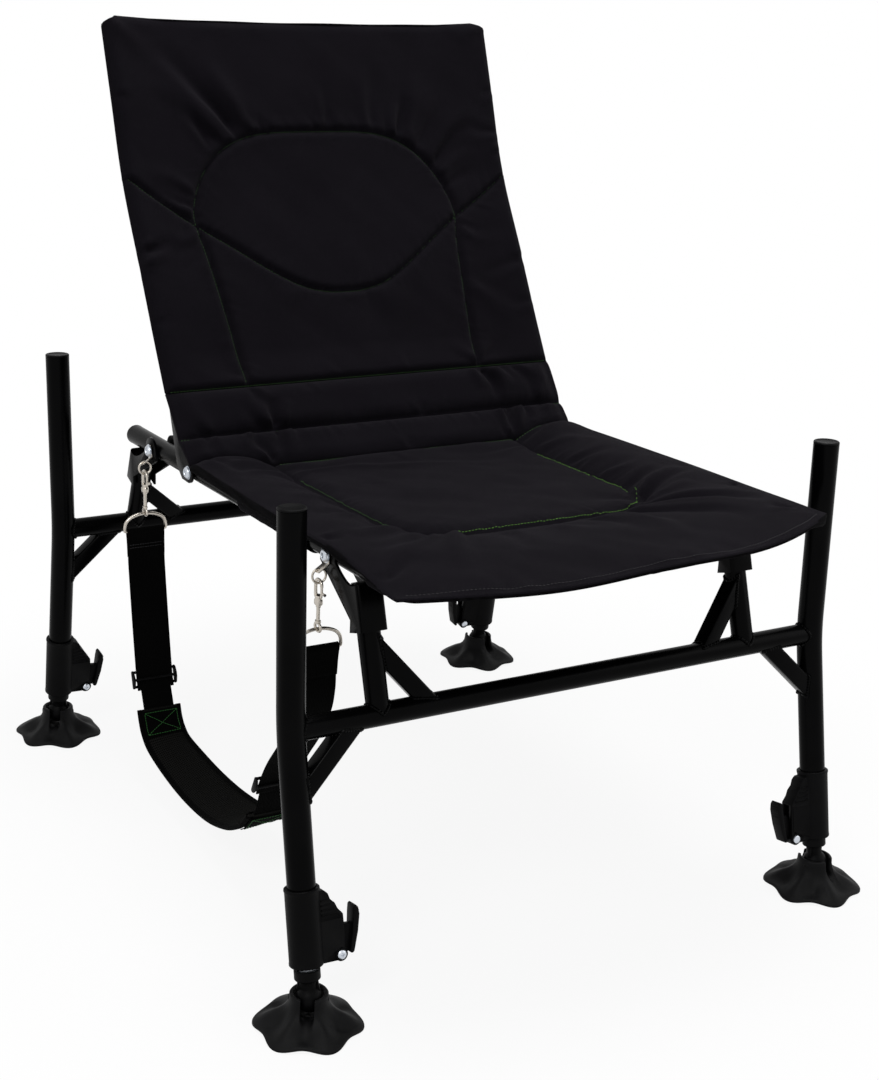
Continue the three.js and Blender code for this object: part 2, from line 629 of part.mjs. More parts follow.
function seatPad() {
  const across = [0, 0.16, 0.32, 0.47, 0.565, 0.63, 0.7, 0.79, 0.835, 0.93, 0.98, 1];
  const shares = [...across.slice(1).reverse().map((s) => -s), ...across];
  const along = [0, 0.02, 0.08, 0.15, 0.23, 0.3, 0.345, 0.375, 0.43, 0.52, 0.62, 0.72, 0.82, 0.91, 0.97, 1];
  const spot = (s, t) => {
    const x = s * mix(seatEdge.halfWidth, seatRearHalf(), t);
    const y = mix(frontEdgeY(s), seamY(x) - fit.gap, t);
    return [x, y];
  };
  const top = (s, t) => {
    const [x, y] = spot(s, t);
    const outside = panelDistance(x, y);
    const toSide = (1 - Math.abs(s)) * seatEdge.halfWidth;
    const toFront = y - frontEdgeY(s);
    const toRear = seamY(x) - y;
    const edge = Math.min(toSide, toFront);
    if (outside <= 0)
      return point(x, y, railZ(y) + mix(seamLevel(x), seatPanel.level, smooth(toRear, 0, seatPanel.reach * 3))
        + puff(Math.min(-outside, toRear), seatPanel.crown, seatPanel.reach));
    const share = outside / (outside + edge);
    const rim = mix(seatEdge.frontTop, seatEdge.wallTop, smooth(toFront, 0, seatPanel.halfWidth));
    const base = mix(mix(seatPanel.level, seamLevel(x), smooth(-toRear, -seatPanel.reach * 3, 0)), rim, share);
    const bulge = seatPanel.bolsterCrown * Math.sqrt(Math.max(0, 4 * share * (1 - share))) * smooth(toRear, 0, seatPanel.reach);
    const rearDip = mix(seamLevel(x), base, smooth(toRear, 0, seatPanel.reach));
    return point(x, y, railZ(y) + rearDip + bulge);
  };
  const bottom = (s, t) => {
    const [x, y] = spot(s, t);
    const overRail = smooth(Math.abs(x), rail.x - bar.radius * 3.4, rail.x - bar.radius * 1.85);
    const toFront = smooth(y, bar.radius - rail.straightTo, bar.radius * 4 - rail.straightTo);
    const fromPivot = Math.abs(y - pivot(frontFrame).y);
    const overEar = (1 - smooth(fromPivot, bracket.earRadius * 2.2, bracket.earRadius * 5)) * overRail;
    const level = mix(seatEdge.railTop, bracket.earRadius + 4 * fit.gap, overEar);
    return point(x, y, railZ(y) + mix(level, mix(seatPanel.bottom, level, overRail), toFront));
  };
  return quilt(shares, along, top, bottom);
}

// The rolls of the cover between the seat's rear seam and the backrest's lowest cross seam.
function lumbarRoll() {
  const across = [0, 0.2, 0.4, 0.6, 0.72, 0.8, 0.88, 0.95, 1];
  const shares = [...across.slice(1).reverse().map((s) => -s), ...across];
  const along = [0, 0.06, 0.16, 0.28, 0.4, 0.45, 0.5, 0.62, 0.76, 0.9, 1];
  const line = (x) => [
    [seamY(x) + fit.gap, railZ(seamY(x)) + seamLevel(x)],
    [backLine.rollY, backLine.rollZ],
    [backLine.lowY, backLine.lowZ],
  ];
  const surface = (s, t, depth) => {
    const x = s * mix(seatRearHalf(), backPad.halfWidth, t);
    const points = line(x);
    const k = t < 0.45 ? 0 : 1;
    const share = k ? (t - 0.45) / 0.55 : t / 0.45;
    const [y, z] = [0, 1].map((axis) => mix(points[k][axis], points[k + 1][axis], share));
    const length = Math.hypot(points[k + 1][0] - points[k][0], points[k + 1][1] - points[k][1]);
    const bend = smooth(t, 0.35, 0.55);
    const first = Math.atan2(points[1][0] - points[0][0], points[1][1] - points[0][1]);
    const second = Math.atan2(points[2][0] - points[1][0], points[2][1] - points[1][1]);
    const angle = mix(first, second, bend);
    const off = depth(x, share, length);
    return point(x, y - Math.cos(angle) * off, z + Math.sin(angle) * off);
  };
  const sideDrop = (x) => smooth(backPad.halfWidth - Math.abs(x), 0, backPad.reach);
  const front = (s, t) => surface(s, t, (x, share, length) =>
    puff(Math.min(share, 1 - share) * length, backPad.crown, backPad.reach * 0.7) * mix(0.3, 1, sideDrop(x)));
  const back = (s, t) => surface(s, t, () => -mix(bar.wall, backPad.thick, smooth(t, 0, 0.35)));
  return quilt(shares, along, front, back);
}

// Backrest

const tubeLean = () => Math.atan2(backTube.bendY - backTube.startY, backTube.bendZ - backTube.startZ);
const tubeY = (z) => backTube.startY + (z - backTube.startZ) * Math.tan(tubeLean());
const webRear = (z) => hingePlate.rearY + (z - hingePlate.rearZ) * Math.tan(radians(hingePlate.lean));
const stopTop = () => railZ(hingePlate.rearY) + bar.radius + stop.height;

function backrestFrame() {
  const upper = (z) => backTube.bendY + (z - backTube.bendZ) * Math.tan(radians(backTube.lean));
  const { bendZ, topZ, corner } = backTube;
  const route = (extra) => {
    const half = (side) => {
      const at = (y, z) => point(side * rail.x, y, z);
      const low = at(tubeY(bendZ - corner), bendZ - corner);
      const high = at(upper(bendZ + corner), bendZ + corner);
      const turn = at(upper(topZ - corner), topZ - corner);
      const top = point(side * (rail.x - corner), upper(topZ), topZ);
      return [
        at(tubeY(backTube.startZ - extra), backTube.startZ - extra),
        ...bend(low, at(backTube.bendY, bendZ), high, 3),
        ...bend(turn, at(upper(topZ), topZ), top, 4),
      ];
    };
    return [...half(-1), ...half(1).reverse()];
  };
  return build([pipe(route(0), backTube.radius)], [pipe(route(fit.overrun), backTube.radius - backTube.wall, sides.bore)]);
}

// A folded plate: two cheeks beside the rail and the backrest's tube, and a web behind the tube.
function backrestHinge(side) {
  const { boltY, front, heel, rearY, rearZ, topZ, tip } = hingePlate;
  const boltZ = railZ(boltY);
  const inside = bar.radius + fit.gap;
  const outside = inside + sheet.hinge;
  const webLow = railZ(rearY) + bar.radius + stop.webRise / 2;
  const cheek = outline([
    [boltY + heel, boltZ - front],
    [rearY, rearZ],
    [webRear(topZ), topZ],
    [tubeY(topZ) - tip / Math.cos(tubeLean()), topZ],
    [boltY - front * 0.4, boltZ + front * 1.6],
  ]);
  cheek.lineTo(boltY - front, boltZ);
  cheek.absarc(boltY, boltZ, front, Math.PI, 1.5 * Math.PI, false);
  const thick = sheet.hinge / Math.cos(radians(hingePlate.lean));
  const web = outline([
    [webRear(webLow) - thick, webLow],
    [webRear(webLow), webLow],
    [webRear(topZ), topZ],
    [webRear(topZ) - thick, topZ],
  ]);
  const x = side * rail.x;
  const reach = outside + fit.overrun;
  return build(
    [
      plateYZ(cheek, x - outside, sheet.hinge, 4),
      plateYZ(cheek, x + inside, sheet.hinge, 4),
      plateYZ(web, x - outside, 2 * outside),
    ],
    [bore(point(x - reach, boltY, boltZ), point(x + reach, boltY, boltZ), bolt.radius + fit.gap, sides.small)],
  );
}

// The seams of the backrest, by x and height: an oval head panel, side seams and vertical seams.
const ovalHalf = [[189, 410], [185, 431], [170, 462], [145, 489], [112, 508], [70, 516], [0, 518]];
const arcHalf = [[189, 410], [145, 384], [100, 356], [60, 336], [25, 328], [0, 327]];
const mirrored = (half) => [...half, ...half.slice(0, -1).reverse().map(([x, z]) => [-x, z])];
const backSeams = [
  mirrored(ovalHalf),
  mirrored(arcHalf),
  ...[-1, 1].map((side) => [[side * 189, 410], [side * backPad.halfWidth, backLine.midZ]]),
  ...[-1, 1].map((side) => [[side * 189, 410], [side * 168, backLine.lowZ]]),
];

function backrestPad() {
  const across = [0, 0.15, 0.3, 0.45, 0.57, 0.66, 0.75, 0.86, 0.935, 0.965, 1];
  const shares = [...across.slice(1).reverse().map((s) => -s), ...across];
  const along = [0, 0.02, 0.07, 0.16, 0.25, 0.33, 0.4, 0.47, 0.55, 0.62, 0.68, 0.75, 0.83, 0.91, 0.97, 1];
  const lineY = (z) =>
    z < backLine.midZ
      ? mix(backLine.lowY, backLine.midY, (z - backLine.lowZ) / (backLine.midZ - backLine.lowZ))
      : mix(backLine.midY, backLine.topY, (z - backLine.midZ) / (backLine.topZ - backLine.midZ));
  const place = (s, t) => {
    const z = mix(backLine.lowZ, backPad.topZ, t);
    const narrowing = backPad.corner * smooth(z, backPad.topZ - backPad.corner, backPad.topZ);
    const x = s * (backPad.halfWidth - narrowing);
    const low = Math.atan2(backLine.midY - backLine.lowY, backLine.midZ - backLine.lowZ);
    const high = Math.atan2(backLine.topY - backLine.midY, backLine.topZ - backLine.midZ);
    const angle = mix(low, high, smooth(z, backLine.midZ - backPad.reach * 3, backLine.midZ + backPad.reach * 3));
    return { x, z, angle };
  };
  const shift = ({ x, z, angle }, off) =>
    point(x, lineY(z) - Math.cos(angle) * off, z + Math.sin(angle) * off);
  const front = (s, t) => {
    const spot = place(s, t);
    const border = Math.min(backPad.halfWidth - Math.abs(spot.x), backPad.topZ - spot.z, spot.z - backLine.lowZ);
    const seam = seamDistance(spot.x, spot.z, backSeams);
    const dip = smooth(backPad.halfWidth - Math.abs(spot.x), 0, backPad.halfWidth * 0.3) * backPad.crown * 0.7;
    const flat = smooth(spot.z - backLine.lowZ, 0, backPad.reach * 2);
    const edge = puff(Math.max(border, 0), backPad.crown, backPad.reach * 0.6);
    return shift(spot, Math.min(edge, puff(seam, backPad.crown, backPad.reach)) - dip * flat);
  };
  const back = (s, t) => {
    const spot = place(s, t);
    const past = smooth(Math.abs(spot.x), rail.x + bar.radius * 1.32, rail.x + bar.radius * 1.9);
    const upper = smooth(spot.z, hingePlate.topZ, hingePlate.topZ + backPad.reach);
    const shiftedTop = smooth(spot.z, backPad.topZ - backPad.reach, backPad.topZ - backPad.reach * 0.4);
    const topThick = mix(backPad.thick, backPad.thick * 1.1, shiftedTop);
    return shift(spot, -mix(topThick, backPad.sideThick, past * upper));
  };
  return quilt(shares, along, front, back);
}

// Carrying strap

// The middle line of the strap, by y and z, from the rear ring down round the pad and up to the front ring.
const strapLine = {
  rear: [[240, -22], [229, -90], [219, -150], [213.5, -176], [206, -203], [194, -226]],
  pad: [[193.7, -226.6], [188, -237], [167, -249], [110, -254.5], [50, -257], [-16, -252], [-78, -239], [-121, -222], [-132.1, -212.7], [-138.8, -205.3]],
  front: [[-139, -205], [-165, -176], [-205, -125], [-237, -70], [-250, -15]],
};

// A flat band along part of a line, from one of its points to another, with its width along x.
function band(points, thick, width, first = 0, last = points.length - 1) {
  const curve = new THREE.SplineCurve(points.map(([y, z]) => new THREE.Vector2(y, z)));
  const steps = (last - first) * 2;
  const near = [];
  const far = [];
  for (let k = 0; k <= steps; k++) {
    const share = (first + k / 2) / (points.length - 1);
    const at = curve.getPoint(share);
    const along = curve.getTangent(share);
    near.push([at.x - (along.y * thick) / 2, at.y + (along.x * thick) / 2]);
    far.push([at.x + (along.y * thick) / 2, at.y - (along.x * thick) / 2]);
  }
  return plateYZ(outline([...near, ...far.reverse()]), -strap.x - width / 2, width);
}

// Webbing from the large ring to the shoulder pad, wide above its slide and narrower below it.
function webbing(points, slideAt, wideFirst) {
  const frame = wideFirst ? rearFrame : frontFrame;
  const last = points.length - 1;
  const eye = dRing.wire + fit.gap;
  const at = (x) => point(x - strap.x, ringCentre(frame).y, largeRingBar(frame));
  const half = strap.webbing / 2;
  return build(
    [
      band(points, strap.thick, wideFirst ? strap.webbing : strap.lowWebbing, 0, slideAt),
      band(points, strap.thick, wideFirst ? strap.lowWebbing : strap.webbing, slideAt, last),
      rod(at(-half), at(half), eye + strap.thick * 0.6, sides.bore),
    ],
    [bore(at(-strap.webbing), at(strap.webbing), eye, sides.small)],
  );
}

function strapSlide(points, k) {
  const [y, z] = points[k];
  const [y0, z0] = points[k - 1];
  const [y1, z1] = points[k + 1];
  const angle = Math.atan2(z1 - z0, y1 - y0);
  const hole = strap.thick + 4 * fit.gap;
  const deep = hole + 2 * slide.wall * 0.6;
  return build(
    [new THREE.BoxGeometry(slide.width, slide.length, deep)],
    [new THREE.BoxGeometry(strap.webbing + 4 * fit.gap, slide.length + fit.overrun, hole)],
  )
    .rotateX(angle)
    .translate(-strap.x, y, z);
}

// A sheet tab under the pivot bolt's head, bent outwards to carry the small ring.
function strapTab(frame) {
  const face = rail.x + bar.radius + 2 * fit.gap + sheet.bracket;
  const width = 1.6 * bolt.headRadius;
  const knee = -1.3 * bolt.headRadius;
  const reach = strap.x - face + ring.radius * 0.4;
  const t = sheet.tab;
  const strip = outline([
    [-face, bolt.headRadius],
    [-face, knee],
    [-face - reach, knee - reach * 0.6],
    [-face - reach - t, knee - reach * 0.6 + t * 0.4],
    [-face - t, knee + t * 0.6],
    [-face - t, bolt.headRadius],
  ]);
  const place = new THREE.Matrix4().makeBasis(point(1, 0, 0), point(0, 0, 1), point(0, -1, 0));
  const body = new THREE.ExtrudeGeometry(strip, { depth: width, bevelEnabled: false })
    .applyMatrix4(place)
    .translate(0, width / 2, 0);
  const across = point(2 * t, 0, -2 * t);
  const hole = point(-strap.x + ring.radius * 0.1, 0, ring.radius - ring.below);
  const small = bolt.radius + fit.gap;
  const centre = pivot(frame);
  return build(
    [body],
    [
      bore(point(-face - 2 * t, 0, 0), point(-face + t, 0, 0), small, sides.small),
      bore(hole.clone().sub(across), hole.clone().add(across), ring.wire * 2, sides.small),
    ],
  )
    .rotateX(-radians(frame.tabLean))
    .translate(0, centre.y, centre.z);
}

// Each small ring hangs straight down from the hole in its leaning tab.
const ringCentre = (frame) =>
  pivot(frame)
    .add(point(-strap.x, 0, -ring.radius))
    .add(lean(frame, frame.tabLean * -frame.side, ring.radius - ring.below).multiply(point(0, -1, 1)));
const largeRingTop = (frame) => pivot(frame).z - dRing.below;

// The strap turns about the line through both small rings, so each ring stands square to that line.
function strapRing(frame) {
  const axis = ringCentre(rearFrame).sub(ringCentre(frontFrame)).normalize();
  const turn = new THREE.Quaternion().setFromUnitVectors(point(0, 0, 1), axis);
  const centre = ringCentre(frame);
  return new THREE.TorusGeometry(ring.radius, ring.wire, sides.wire, 14)
    .applyQuaternion(turn)
    .translate(centre.x, centre.y, centre.z);
}

function snapHook(frame) {
  const centre = ringCentre(frame);
  const top = centre.z - ring.radius + ring.wire + snap.wire + 2 * fit.gap;
  const low = top - snap.loopLength;
  const eyeOuter = dRing.wire + fit.gap + snap.wire;
  const eyeZ = largeRingTop(frame) - dRing.wire;
  const half = snap.loopWidth;
  const at = (z) => point(0, 0, z);
  const bow = (s) => [
    point(0, -s * snap.wire, top),
    point(0, s * half * 0.55, top - half * 0.2),
    point(0, s * half, top - half),
    point(0, s * half, mix(top, low, 0.62)),
    point(0, s * half * 0.55, low + half * 0.2),
    point(0, -s * snap.wire, low),
  ];
  const eye = new THREE.TorusGeometry(eyeOuter, snap.wire, sides.wire, 10)
    .rotateY(Math.PI / 2)
    .translate(0, 0, eyeZ);
  const stemLow = eyeZ + eyeOuter;
  const thumb = mix(stemLow, low, 0.75);
  return build([
    pipe(bow(1), snap.wire, sides.wire),
    pipe(bow(-1), snap.wire, sides.wire),
    rod(at(stemLow + snap.barrel), at(low + snap.wire), snap.stem, sides.small),
    rod(at(stemLow), at(stemLow + snap.barrel * 1.4), snap.barrel, sides.small, snap.stem),
    rod(at(thumb), point(0, -half * 2, thumb), snap.wire, sides.wire),
    eye,
  ]).translate(centre.x, centre.y, 0);
}

function largeRing(frame) {
  const half = dRing.inner / 2 + dRing.wire;
  const top = largeRingTop(frame) - dRing.wire;
  const barZ = top - dRing.height;
  const arch = new THREE.CatmullRomCurve3([
    point(-half, 0, barZ),
    point(-half, 0, mix(barZ, top, 0.3)),
    point(-half * 0.72, 0, mix(barZ, top, 0.8)),
    point(0, 0, top),
    point(half * 0.72, 0, mix(barZ, top, 0.8)),
    point(half, 0, mix(barZ, top, 0.3)),
    point(half, 0, barZ),
  ]);
  const reach = half + dRing.wire / 2;
  return build([
    pipe(arch.getPoints(10), dRing.wire, sides.wire),
    rod(point(-reach, 0, barZ), point(reach, 0, barZ), dRing.wire, sides.wire),
  ]).translate(-strap.x, ringCentre(frame).y, 0);
}

const largeRingBar = (frame) => largeRingTop(frame) - dRing.wire - dRing.height;

// Assembly

piece("seat_frame", seatFrame(), materials.paint);
piece("seat_pad", seatPad(), materials.fabric);
piece("lumbar_roll", lumbarRoll(), materials.fabric);
piece("backrest_frame", backrestFrame(), materials.paint);
piece("backrest_pad", backrestPad(), materials.fabric);

const cheekFace = bar.radius + 2 * fit.gap + sheet.bracket;
for (const side of [-1, 1]) {
  piece(`backrest_hinge_${sideName(side)}`, backrestHinge(side), materials.paint);
  const centre = point(0, hingePlate.boltY, railZ(hingePlate.boltY));
  const face = bar.radius + 2 * fit.gap + sheet.hinge;
  piece(`backrest_bolt_${sideName(side)}`, crossBolt(side, centre, rail.x + face, rail.x - face), materials.zinc);
}

for (const frame of [frontFrame, rearFrame]) {
  const name = frameName(frame);
  piece(`${name}_leg_frame`, legFrame(frame), materials.paint);
  for (const side of [-1, 1]) {
    const place = `${name}_${sideName(side)}`;
    const headFace = rail.x + cheekFace + sheet.tab + fit.gap;
    piece(`leg_bracket_${place}`, legBracket(frame, side), materials.paint);
    piece(`pivot_bolt_${place}`, crossBolt(side, pivot(frame), headFace, rail.x - cheekFace), materials.zinc);
    piece(`leg_cap_${place}`, legCap(frame, side), materials.plastic);
    piece(`clamp_collar_${place}`, clampCollar(frame, side), materials.plastic);
    piece(`clamp_lever_${place}`, clampLever(frame, side), materials.plastic);
    piece(`lever_pin_${place}`, leverPin(frame, side), materials.zinc);
    piece(`inner_leg_${place}`, innerTube(frame, side), materials.zinc);
    piece(`ball_stud_${place}`, ballStud(frame, side), materials.plastic);
    piece(`foot_${place}`, mudFoot(frame, side), materials.plastic);
  }
  piece(`strap_tab_${name}`, strapTab(frame), materials.nickel);
  piece(`strap_ring_${name}`, strapRing(frame), materials.nickel);
  piece(`snap_hook_${name}`, snapHook(frame), materials.nickel);
  piece(`strap_dring_${name}`, largeRing(frame), materials.nickel);
}
const onRing = (frame) => [ringCentre(frame).y, largeRingBar(frame) - dRing.wire - fit.gap];
const rearStrap = [onRing(rearFrame), ...strapLine.rear];
const frontStrap = [...strapLine.front, onRing(frontFrame)];
piece("strap_webbing_rear", webbing(rearStrap, 4, true), materials.webbing);
piece("strap_webbing_front", webbing(frontStrap, 1, false), materials.webbing);
piece("strap_slide_rear", strapSlide(rearStrap, 4), materials.plastic);
piece("strap_slide_front", strapSlide(frontStrap, 1), materials.plastic);
piece("strap_pad", band(strapLine.pad, strap.padThick, strap.padWidth), materials.webbing);

chair.updateMatrixWorld(true);
const extent = new THREE.Box3().setFromObject(chair);
const middle = extent.getCenter(new THREE.Vector3());
chair.position.set(-middle.x, -middle.y, -extent.min.z);

export default chair;
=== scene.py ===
"""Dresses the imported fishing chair: tubes, hinge plates, clamps, feet, carrying strap and quilted cover."""

import json
import logging
import math
from collections.abc import Callable, Sequence
from dataclasses import dataclass
from enum import Enum

import bpy
import numpy as np
from mathutils import Matrix, Vector
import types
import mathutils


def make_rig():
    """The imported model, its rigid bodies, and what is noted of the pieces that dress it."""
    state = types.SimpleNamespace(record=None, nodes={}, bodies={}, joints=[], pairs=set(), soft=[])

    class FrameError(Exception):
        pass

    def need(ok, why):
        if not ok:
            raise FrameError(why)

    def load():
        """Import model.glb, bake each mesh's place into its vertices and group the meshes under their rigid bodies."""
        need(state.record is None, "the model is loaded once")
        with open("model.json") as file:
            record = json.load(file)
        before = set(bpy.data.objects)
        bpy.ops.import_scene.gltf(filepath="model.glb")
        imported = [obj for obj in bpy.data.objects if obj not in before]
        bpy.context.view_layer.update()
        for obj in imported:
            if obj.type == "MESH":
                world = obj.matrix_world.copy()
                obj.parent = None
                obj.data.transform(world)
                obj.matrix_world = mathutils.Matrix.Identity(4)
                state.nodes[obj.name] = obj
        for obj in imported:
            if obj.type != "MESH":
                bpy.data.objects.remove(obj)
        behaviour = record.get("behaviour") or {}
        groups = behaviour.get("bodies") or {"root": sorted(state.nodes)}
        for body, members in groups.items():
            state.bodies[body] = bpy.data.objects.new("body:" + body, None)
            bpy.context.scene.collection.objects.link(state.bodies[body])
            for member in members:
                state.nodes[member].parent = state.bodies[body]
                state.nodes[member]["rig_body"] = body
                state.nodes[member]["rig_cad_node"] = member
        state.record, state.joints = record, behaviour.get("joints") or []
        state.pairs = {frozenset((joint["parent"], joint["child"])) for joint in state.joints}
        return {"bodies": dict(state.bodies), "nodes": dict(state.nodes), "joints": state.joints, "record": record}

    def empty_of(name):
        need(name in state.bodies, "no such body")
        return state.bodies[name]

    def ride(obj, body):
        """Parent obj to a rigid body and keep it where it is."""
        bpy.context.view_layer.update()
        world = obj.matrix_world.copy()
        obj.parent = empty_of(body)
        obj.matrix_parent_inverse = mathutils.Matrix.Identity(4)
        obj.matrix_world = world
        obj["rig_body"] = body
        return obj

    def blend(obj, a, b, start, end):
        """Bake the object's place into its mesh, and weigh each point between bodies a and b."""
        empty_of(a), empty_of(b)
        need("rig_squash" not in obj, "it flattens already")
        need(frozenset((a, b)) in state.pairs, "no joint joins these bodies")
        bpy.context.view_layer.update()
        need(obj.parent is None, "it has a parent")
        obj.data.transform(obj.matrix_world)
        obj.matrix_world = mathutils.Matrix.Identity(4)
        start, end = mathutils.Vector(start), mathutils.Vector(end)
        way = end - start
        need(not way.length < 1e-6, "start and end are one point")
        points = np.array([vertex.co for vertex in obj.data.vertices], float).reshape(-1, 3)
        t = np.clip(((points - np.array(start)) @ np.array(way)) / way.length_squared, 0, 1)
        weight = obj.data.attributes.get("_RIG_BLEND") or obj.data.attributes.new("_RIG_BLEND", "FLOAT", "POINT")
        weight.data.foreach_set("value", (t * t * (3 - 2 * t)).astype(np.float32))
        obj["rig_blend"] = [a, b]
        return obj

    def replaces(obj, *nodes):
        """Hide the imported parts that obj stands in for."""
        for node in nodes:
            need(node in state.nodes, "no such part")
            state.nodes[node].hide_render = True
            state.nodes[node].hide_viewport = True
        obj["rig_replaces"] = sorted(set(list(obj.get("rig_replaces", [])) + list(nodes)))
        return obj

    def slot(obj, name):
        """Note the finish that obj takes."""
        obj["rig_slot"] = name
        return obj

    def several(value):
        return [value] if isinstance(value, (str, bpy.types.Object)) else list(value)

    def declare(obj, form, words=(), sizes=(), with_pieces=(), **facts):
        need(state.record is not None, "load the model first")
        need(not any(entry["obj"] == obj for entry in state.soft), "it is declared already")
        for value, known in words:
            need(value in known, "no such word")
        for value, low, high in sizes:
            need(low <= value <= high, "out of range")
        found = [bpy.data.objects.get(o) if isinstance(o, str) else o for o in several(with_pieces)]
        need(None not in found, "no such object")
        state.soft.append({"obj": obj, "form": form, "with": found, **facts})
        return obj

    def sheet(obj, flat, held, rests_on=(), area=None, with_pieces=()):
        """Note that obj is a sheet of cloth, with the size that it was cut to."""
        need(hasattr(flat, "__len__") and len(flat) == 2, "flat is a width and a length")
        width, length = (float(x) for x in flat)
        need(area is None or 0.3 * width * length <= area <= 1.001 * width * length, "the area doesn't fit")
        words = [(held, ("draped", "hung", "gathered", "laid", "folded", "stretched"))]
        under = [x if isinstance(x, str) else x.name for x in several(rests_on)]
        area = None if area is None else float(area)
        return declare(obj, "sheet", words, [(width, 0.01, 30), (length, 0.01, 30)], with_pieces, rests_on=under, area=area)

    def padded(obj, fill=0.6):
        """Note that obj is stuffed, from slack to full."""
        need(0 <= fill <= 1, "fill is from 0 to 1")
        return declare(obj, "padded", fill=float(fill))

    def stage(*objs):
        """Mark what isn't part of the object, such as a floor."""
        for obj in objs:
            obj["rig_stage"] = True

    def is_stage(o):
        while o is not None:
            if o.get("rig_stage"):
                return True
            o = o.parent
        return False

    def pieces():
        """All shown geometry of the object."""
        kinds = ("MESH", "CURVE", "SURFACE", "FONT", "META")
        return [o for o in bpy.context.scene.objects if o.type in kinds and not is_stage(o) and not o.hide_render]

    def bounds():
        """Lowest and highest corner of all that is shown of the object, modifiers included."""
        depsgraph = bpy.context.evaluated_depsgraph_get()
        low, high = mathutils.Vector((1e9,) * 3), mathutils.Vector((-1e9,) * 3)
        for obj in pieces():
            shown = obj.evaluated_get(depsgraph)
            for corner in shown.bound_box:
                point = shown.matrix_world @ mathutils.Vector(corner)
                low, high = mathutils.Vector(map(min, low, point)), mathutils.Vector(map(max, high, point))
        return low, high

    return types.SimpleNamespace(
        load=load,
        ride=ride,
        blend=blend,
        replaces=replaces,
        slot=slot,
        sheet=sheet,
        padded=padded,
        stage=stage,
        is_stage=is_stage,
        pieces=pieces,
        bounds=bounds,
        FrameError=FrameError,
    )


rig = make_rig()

log = logging.getLogger("chair")
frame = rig.load()
CAD_BOUNDS = [list(map(float, corner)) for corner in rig.bounds()]

Place = tuple[float, float, float]
Pair = tuple[float, float]
Array = np.ndarray
Piece = bpy.types.Object
Rows = list[tuple[Array, Array, Array]]


# The chair's own layout, in millimetres, with the crossbars' axes at height zero


@dataclass(frozen=True)
class Legs:
    """The layout of one welded leg frame, in millimetres and degrees."""

    name: str
    side: int
    rise_lean: float
    drop_lean: float
    post_lean: float
    pivot_y: float
    sleeve_top: float
    sleeve: float
    tab_lean: float


FRONT = Legs("front", -1, -2.1, 11.45, 18.7, 253, 137, 50, 8)
REAR = Legs("rear", 1, 2.5, 8.1, 20, 250, 110, 42, 25)
SIDES = {-1: "left", 1: "right"}


# How high the seat rails' axes lie in the middle, and how steeply they fall to the rear
RAIL_HEIGHT, RAIL_SLOPE = 136, math.radians(2.36)

# The least gap between pieces, the folded plates' thickness, and how far their cheeks lie from a rail's axis
GAP, SHEET, CHEEK = 0.3, 3.0, 14.3


def rail_z(y: float) -> float:
    """Height of a seat rail's axis at a place from front to rear."""
    return RAIL_HEIGHT - y * math.tan(RAIL_SLOPE)


def mixed(a: float, b: float, share: float) -> float:
    """The value a share of the way from a to b."""
    return a + (b - a) * share


def upright(way: Vector) -> Matrix:
    """The turn that brings z to a way."""
    return Vector((0, 0, 1)).rotation_difference(way).to_matrix().to_4x4()


def bend(start: Vector, corner: Vector, end: Vector, steps: int) -> list[Vector]:
    """Points round a bend with a corner between its ends."""
    shares = [k / steps for k in range(steps + 1)]
    return [start * (1 - t) ** 2 + corner * 2 * t * (1 - t) + end * t * t for t in shares]


